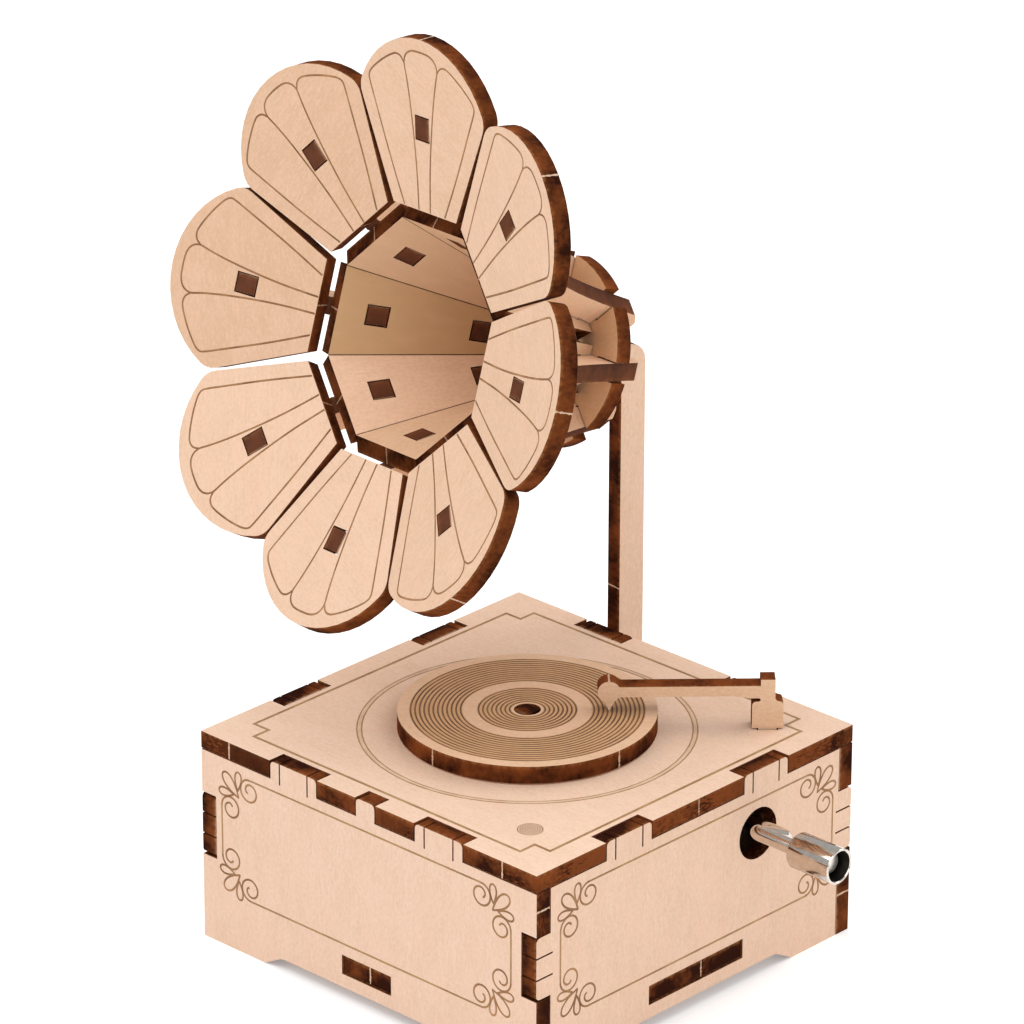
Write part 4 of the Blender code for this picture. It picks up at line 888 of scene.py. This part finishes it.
def metalMaterial(name, colour, rough):
    material = bpy.data.materials.new(name)
    material.use_nodes = True
    tree = material.node_tree
    shader = tree.nodes["Principled BSDF"]
    shader.inputs["Metallic"].default_value = 1.0
    where = tree.nodes.new("ShaderNodeTexCoord")
    wear = noise(tree, where.outputs["Object"], metalWear["scale"], 4, 0.6)
    wire(tree, remap(tree, wear, *metalWear["roughRange"], *rough), shader.inputs["Roughness"])
    dull = [tone * share for tone, share in zip(colour, metalWear["dull"])]
    share = remap(tree, wear, *metalWear["dullRange"])
    wire(tree, blendColour(tree, share, (*colour, 1), (*dull, 1)), shader.inputs["Base Color"])
    bump = tree.nodes.new("ShaderNodeBump")
    strength, distance = metalWear["bump"]
    bump.inputs["Strength"].default_value = strength
    bump.inputs["Distance"].default_value = distance
    wire(tree, wear, bump.inputs["Height"])
    wire(tree, bump.outputs["Normal"], shader.inputs["Normal"])
    return material


nickel = metalMaterial("crankNickel", (0.70, 0.64, 0.575), (0.08, 0.16))
crank = {
    "axis": (0.0145, 0.0226), "start": 0.0219, "elbow": 0.0441, "bend": 0.0022,
    "throw": 0.0097, "angle": math.radians(153), "wire": 0.00125, "end": 0.0605,
    "bendSteps": 12, "wireSteps": 32,
    # the peened head: its shoulder, its straight share, then how much the end closes and rises
    "headRadius": 0.0018, "headLength": 0.0009,
    "shoulder": 0.0001, "straight": 0.7, "crown": 0.80, "rise": 0.00025,
}
knob = {
    "start": 0.0534, "end": 0.0622, "radius": 0.0030, "bore": 0.00138, "wall": 0.00045,
    "cup": 0.0033, "edge": 0.0004, "edgeMiddle": 0.35, "lip": 0.00012, "steps": 64,
}


def crankPath(values):
    y, z = values["axis"]
    legY = y + values["throw"] * math.cos(values["angle"])
    legZ = z + values["throw"] * math.sin(values["angle"])
    stop = values["end"] - values["headLength"]
    elbow = values["elbow"]
    corners = [(values["start"], y, z), (elbow, y, z), (elbow, legY, legZ), (stop, legY, legZ)]
    return softened(corners, values["bend"], steps=values["bendSteps"]), legY, legZ


crankPoints, knobY, knobZ = crankPath(crank)


def advanced(work, front, closing=False):
    # extrudes the front face; the old one goes, unless it closes the mesh
    grown = bmesh.ops.extrude_face_region(work, geom=front)["geom"]
    if not closing:
        bmesh.ops.delete(work, geom=front, context="FACES_ONLY")
    faces = [item for item in grown if isinstance(item, bmesh.types.BMFace)]
    return faces, [item for item in grown if isinstance(item, bmesh.types.BMVert)]


def makeCrankWire(values, points):
    # a disc swept along the wire's path, ring by ring
    work = bmesh.new()
    spots = [Vector(point) for point in points]
    along = Vector((1, 0, 0))
    facing = Matrix.Translation(spots[0]) @ along.to_track_quat("Z", "Y").to_matrix().to_4x4()
    bmesh.ops.create_circle(work, cap_ends=True, radius=values["wire"], segments=values["wireSteps"],
                            matrix=facing)
    front, last = work.faces[:], spots[0]
    for index in range(1, len(spots)):
        front, verts = advanced(work, front, index == 1)
        ahead = (spots[min(index + 1, len(spots) - 1)] - spots[index - 1]).normalized()
        swing = along.rotation_difference(ahead).to_matrix()
        bmesh.ops.translate(work, verts=verts, vec=spots[index] - last)
        bmesh.ops.rotate(work, verts=verts, cent=spots[index], matrix=swing)
        along, last = ahead, spots[index]
    # the end swells, then closes
    swells = (
        (values["headRadius"] / values["wire"], values["shoulder"]),
        (1.0, values["headLength"] * values["straight"]),
        (values["crown"], values["rise"]),
    )
    for grow, advance in swells:
        front, verts = advanced(work, front)
        bmesh.ops.translate(work, verts=verts, vec=(advance, 0, 0))
        last = last + Vector((advance, 0, 0))
        bmesh.ops.scale(work, verts=verts, vec=(1, grow, grow), space=Matrix.Translation(-last))
    bmesh.ops.recalc_face_normals(work, faces=work.faces)
    # the head's faces take the paler nickel: rougher for the peening, and partly painted light
    for face in work.faces:
        face.material_index = int(face.calc_center_median().x > values["end"] - values["headLength"])
    return work


def makeKnob(values, y, z):
    # half a section, spun about the knob's own axis
    start, end, edge, lip = values["start"], values["end"], values["edge"], values["lip"]
    outer, cupWall = values["radius"], values["radius"] - values["wall"]
    floor = end - values["cup"]
    eased = edge * values["edgeMiddle"]
    section = [
        (start, values["bore"]), (start, outer - edge),
        (start + eased, outer - eased), (start + edge, outer),
        (end - lip, outer), (end, outer - lip), (end, cupWall + lip), (end - lip, cupWall),
        (floor + lip * 2, cupWall), (floor, cupWall - lip * 2), (floor, values["bore"]),
    ]
    work = bmesh.new()
    verts = [work.verts.new((x, y, z + radius)) for x, radius in section]
    edges = [work.edges.new((verts[i], verts[(i + 1) % len(verts)])) for i in range(len(verts))]
    bmesh.ops.spin(work, geom=verts + edges, cent=(0, y, z), axis=(1, 0, 0), angle=2 * math.pi,
                   steps=values["steps"], use_merge=True)
    bmesh.ops.remove_doubles(work, verts=work.verts, dist=1e-7)
    bmesh.ops.recalc_face_normals(work, faces=work.faces)
    # faces inside the cup get a near-black metal
    for face in work.faces:
        middle = face.calc_center_median()
        inside = math.hypot(middle.y - y, middle.z - z) < cupWall + lip / 4
        face.material_index = int(inside and floor - lip < middle.x < end - lip / 2)
    return work


cupDark = metalMaterial("cupInside", (0.060, 0.050, 0.044), (0.45, 0.60))
# the peened head: rougher than the wire, and painted paler as painted light so that it reads as lit
peenedLitNickel = metalMaterial("peenedLitNickel", (0.84, 0.80, 0.74), (0.34, 0.46))
crankWork, knobWork = makeCrankWire(crank, crankPoints), makeKnob(knob, knobY, knobZ)
finished("crankWire", crankWork, [nickel, peenedLitNickel], "crank", ["crank_wire"])
finished("crankKnob", knobWork, [nickel, cupDark], "knob", ["crank_knob"])
print("crank made")

# the hidden movement keeps its solids and gets real metals

movementMetals = {
    "movement_bed": ("bedZinc", (0.42, 0.42, 0.43), (0.40, 0.60)),
    "comb": ("combSteel", (0.56, 0.56, 0.58), (0.22, 0.34)),
    "worm_shaft": ("wormSteel", (0.52, 0.52, 0.54), (0.20, 0.32)),
    "cylinder_arbor": ("arborSteel", (0.56, 0.56, 0.58), (0.18, 0.28)),
    "music_cylinder": ("cylinderBrass", (0.72, 0.50, 0.20), (0.22, 0.36)),
    "cylinder_gear": ("gearBrass", (0.68, 0.46, 0.18), (0.24, 0.40)),
}
for nodeName, (metalName, colour, rough) in movementMetals.items():
    dress(nodeName, metalMaterial(metalName, colour, rough))
screwMetal = metalMaterial("screwSteel", (0.50, 0.49, 0.46), (0.28, 0.42))
for nodeName in ("comb_screw_1", "comb_screw_2", "bed_screw_1", "bed_screw_2", "bed_screw_3"):
    dress(nodeName, screwMetal)
print("movement dressed")
